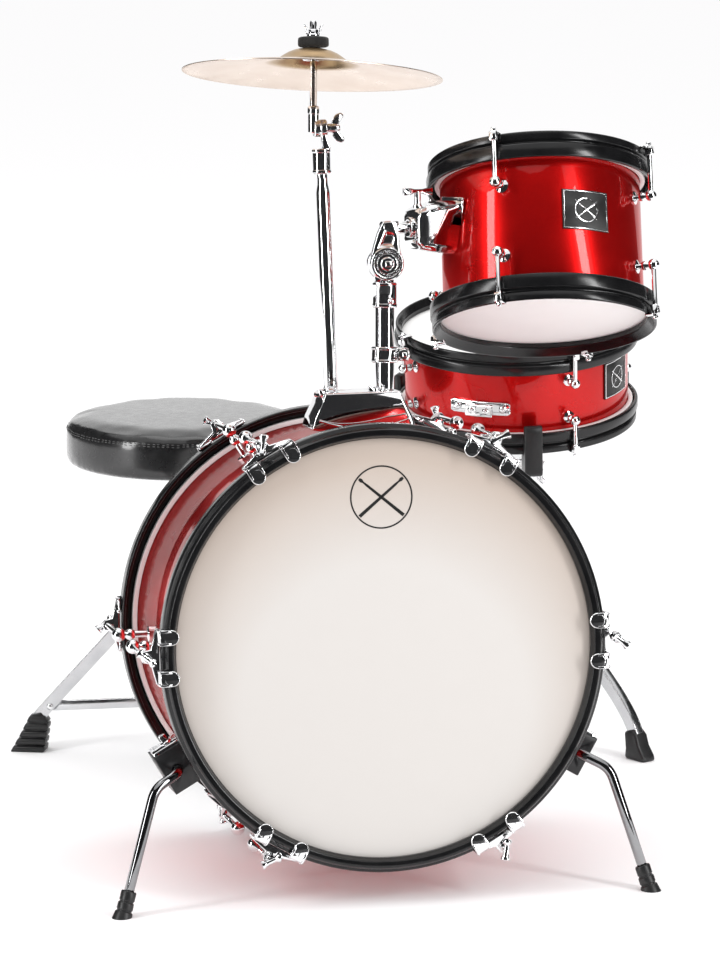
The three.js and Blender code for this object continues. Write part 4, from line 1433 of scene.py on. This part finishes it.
def inflate(piece, size):
    # remesh, let the air in, then limit how far each point may have moved
    pick(piece)
    remesh = piece.modifiers.new("remesh", "REMESH")
    remesh.mode = "VOXEL"
    remesh.voxel_size = size["voxel"] * mm
    bpy.ops.object.modifier_apply(modifier="remesh")
    start = [vertex.co.copy() for vertex in piece.data.vertices]
    base = piece.vertex_groups.new(name="base")
    floorAt = min(point.z for point in start)
    base.add([k for k, point in enumerate(start) if point.z < floorAt + 4 * mm], 1.0, "REPLACE")
    cloth = piece.modifiers.new("cloth", "CLOTH")
    cloth.settings.use_pressure = True
    cloth.settings.uniform_pressure_force = size["pressure"]
    cloth.settings.effector_weights.gravity = 0
    cloth.settings.vertex_group_mass = "base"
    for step in range(1, 21):
        bpy.context.scene.frame_set(step)
    bpy.ops.object.modifier_apply(modifier="cloth")
    bpy.context.scene.frame_set(1)
    middle = thronePlace.translation
    for vertex, before in zip(piece.data.vertices, start):
        step = vertex.co - before
        out = Vector((before.x - middle.x, before.y - middle.y, 0)).normalized()
        swell = max(-size["sink"] * mm, min(step.dot(out), size["sideCap"] * mm))
        rise = max(-size["sink"] * mm, min(step.z, size["topCap"] * mm))
        vertex.co = before + out * swell + upwards * rise
    edit(piece)
    bpy.ops.mesh.vertices_smooth(factor=0.5, repeat=6)
    bpy.ops.object.mode_set(mode="OBJECT")


def makeCushion(size):
    radius, low, high, edge = size["radius"], size["low"], size["high"], size["edge"]
    profile = [(0, low), (radius - 7, low)] + arc((radius - 7, low + 7), 7, -75, 0, 4)
    profile += arc((radius - edge, high - edge), edge, 0, 80, 5) + [(radius - 30, high + 0.6),
        (0, high + 1.4)]
    piece = dressed(spun("throne_cushion_vinyl", profile, 72, 0), vinyl)
    placed(piece, thronePlace @ Matrix.Scale(mm, 4))
    inflate(piece, size)
    middle = thronePlace.translation
    topAt = max(vertex.co.z for vertex in piece.data.vertices)
    seamAt = (high - edge + 1.0) * mm
    for vertex in piece.data.vertices:  # the sewn seam below the top edge draws the side in
        away = Vector((vertex.co.x - middle.x, vertex.co.y - middle.y, 0))
        if away.length > (radius - 12) * mm:
            pull = math.exp(-(((vertex.co.z - seamAt) / (2.6 * mm)) ** 2)) * size["seamDepth"] * mm
            vertex.co -= away.normalized() * pull
    pick(piece)
    smooth = piece.modifiers.new("smooth", "SUBSURF")
    smooth.levels = smooth.render_levels = 1
    bpy.ops.object.modifier_apply(modifier="smooth")
    bpy.ops.object.shade_smooth()
    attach(piece, "throne_seat")
    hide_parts("throne_cushion")
    print("cushion top at", round(topAt, 4))
    return piece, seamAt


def addStitching(piece, seamAt, size):
    # two rows of short stitches that lie on the vinyl
    middle = thronePlace.translation
    stitch = dressed(spun("stitch", [
        (0, -size["stitchLength"] / 2), (0.5, -size["stitchLength"] / 2 + 0.5), (0.55, 0),
        (0.5, size["stitchLength"] / 2 - 0.5), (0, size["stitchLength"] / 2),
    ], 6, 0), thread)
    rows = []
    for drop in (1.8, -2.6):
        for k in range(size["stitches"]):
            angle = fullTurn * k / size["stitches"]
            out = Vector((math.cos(angle), math.sin(angle), 0))
            guess = Vector((middle.x, middle.y, seamAt + drop * mm)) + out * (size["radius"] + 12) * mm
            _, spot, normal, _ = piece.closest_point_on_mesh(guess)
            along = upwards.cross(normal).normalized()
            place = frameAt(spot + normal * 0.1 * mm, along, normal)
            rows.append(placed(copyOf(stitch, "stitch"), place @ Matrix.Scale(mm, 4)))
    bpy.data.objects.remove(stitch)
    rows = joined("throne_stitching", *rows)
    bpy.ops.object.shade_smooth()
    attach(rows, "throne_seat")


seatPiece, seamHeight = makeCushion(cushion)
addStitching(seatPiece, seamHeight, cushion)
print("throne made")

# ---- kick pedal
pedal = {"beaterAt": 117}
refined("pedal_base", "root", chrome, 0.9)
heel, axle = pivotOf("pedal_press"), pivotOf("beater_swing")
low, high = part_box("pedal_footboard")
boardTilt = math.degrees(math.atan2(high.z - heel.z, heel.y - low.y)) - 0.6
boardPlace = frameAt(heel, upwards)
board = slab("board", [(-24, -2), (24, -2), (24, 2.2), (-24, 2.2)], -184, 6, 0.9)
ribs = []
for k in range(11):
    rib = slab("rib", [(-19, 2), (19, 2), (18, 3.4), (-18, 3.4)], -1.6, 1.6, 0.5, 2)
    ribs.append(shifted(rib, 0, -24 - 14 * k, 0))
hinge = placed(spun("hinge", [(0, -24.4), (3, -24.4), (3, 24.4), (0, 24.4)], 24, 0.3), turned(90, "Y"))
plate = dressed(joined("plate", board, hinge), chrome)
for rib in ribs:
    dressed(rib, rubber)
board = joined("pedal_footboard_finished", plate, *ribs)
placed(board, turned(-boardTilt, "X"))
seated(board, boardPlace, "pedal_board", "chrome", "pedal_footboard")
beaterPlace = frameAt(axle, upwards) @ turned(-42, "X")
shaft = spun("shaft", [(0, 8), (3, 8), (3, 126), (0, 126)], 24, 0.3)
cross = placed(spun("cross", [
    (0, -37), (4, -37), (4, -9), (10.6, -9), (12, -8), (12, 8), (10.6, 9), (4, 9), (4, 37), (0, 37),
], 36, 0.3), turned(90, "Y"))
key = placed(squareBolt("key", 3, 6, 5), Matrix.Translation((0, -11.6, 0)) @ turned(90, "X"))
cup = placed(spun("cup", [(0, -6), (6, -6), (6, 6), (0, 6)], 28, 0.6), Matrix.Translation((0, 0, 103)))
metal = dressed(joined("metal", shaft, cross, key, cup), chrome)
pad = spun("pad", [
    (0, -18.6), (12, -18.6), (15.6, -17.6), (16.9, -15),
    (17, 0), (16.9, 15), (15.6, 17.6), (12, 18.6), (0, 18.6),
], 48, 0.6)
pad = dressed(placed(pad, Matrix.Translation((0, 0, pedal["beaterAt"])) @ turned(90, "Y")), feltWool)
beater = joined("pedal_beater_finished", metal, pad)
seated(beater, beaterPlace, "pedal_striker", "chrome", "pedal_beater")


def makeSpring():
    # return spring between the axle's arm and the foot of the right post
    turns, radius = 12, 5
    coil = []
    for k in range(turns * 10 + 1):
        angle = k / 10 * fullTurn
        coil.append((radius * math.cos(angle), radius * math.sin(angle), -58 + 44 * k / (turns * 10)))
    path = [(0, 0, -72), (0, 0, -60)] + coil + [(0, 0, -12), (0, 0, 0)]
    return dressed(bentRod("pedal_spring", path, 1.0, 8, 0), chrome)


seated(makeSpring(), frameAt(axle, upwards) @ moved(46, 0, -6), "root", "chrome")
print("pedal made")

# ---- a plain printed mark on the front head: a ring with two crossed sticks, no lettering
mark = {"height": 148, "ring": 31, "line": 1.5, "stick": 46, "turn": 40, "thickness": 0.16}
ring = spun("ring", [
    (mark["ring"] - mark["line"], 0), (mark["ring"], 0), (mark["ring"], mark["thickness"]),
    (mark["ring"] - mark["line"], mark["thickness"]),
], 120, 0)
half, thin = mark["stick"], mark["thickness"]
stickLine = [(-half * 0.62, -1.7), (half * 0.4, -1.2), (half * 0.5, -0.8), (half * 0.56, -1.8),
    (half * 0.62, -1.2)]
stickOutline = stickLine + [(x, -z) for x, z in reversed(stickLine)]
stick = placed(slab("stick", stickOutline, -thin, 0, 0), turned(-90, "X"))
sticks = [placed(copyOf(stick, "stick"), turned(mark["turn"])), placed(stick, turned(180 - mark["turn"]))]
printed = dressed(joined("bass_head_mark", ring, *sticks), printInk)
faceAt = bass["half"] - bass["inset"] + 1.72
seated(printed, bassPlace @ moved(0, mark["height"], faceAt), "root", "black_plastic")
print("mark made")
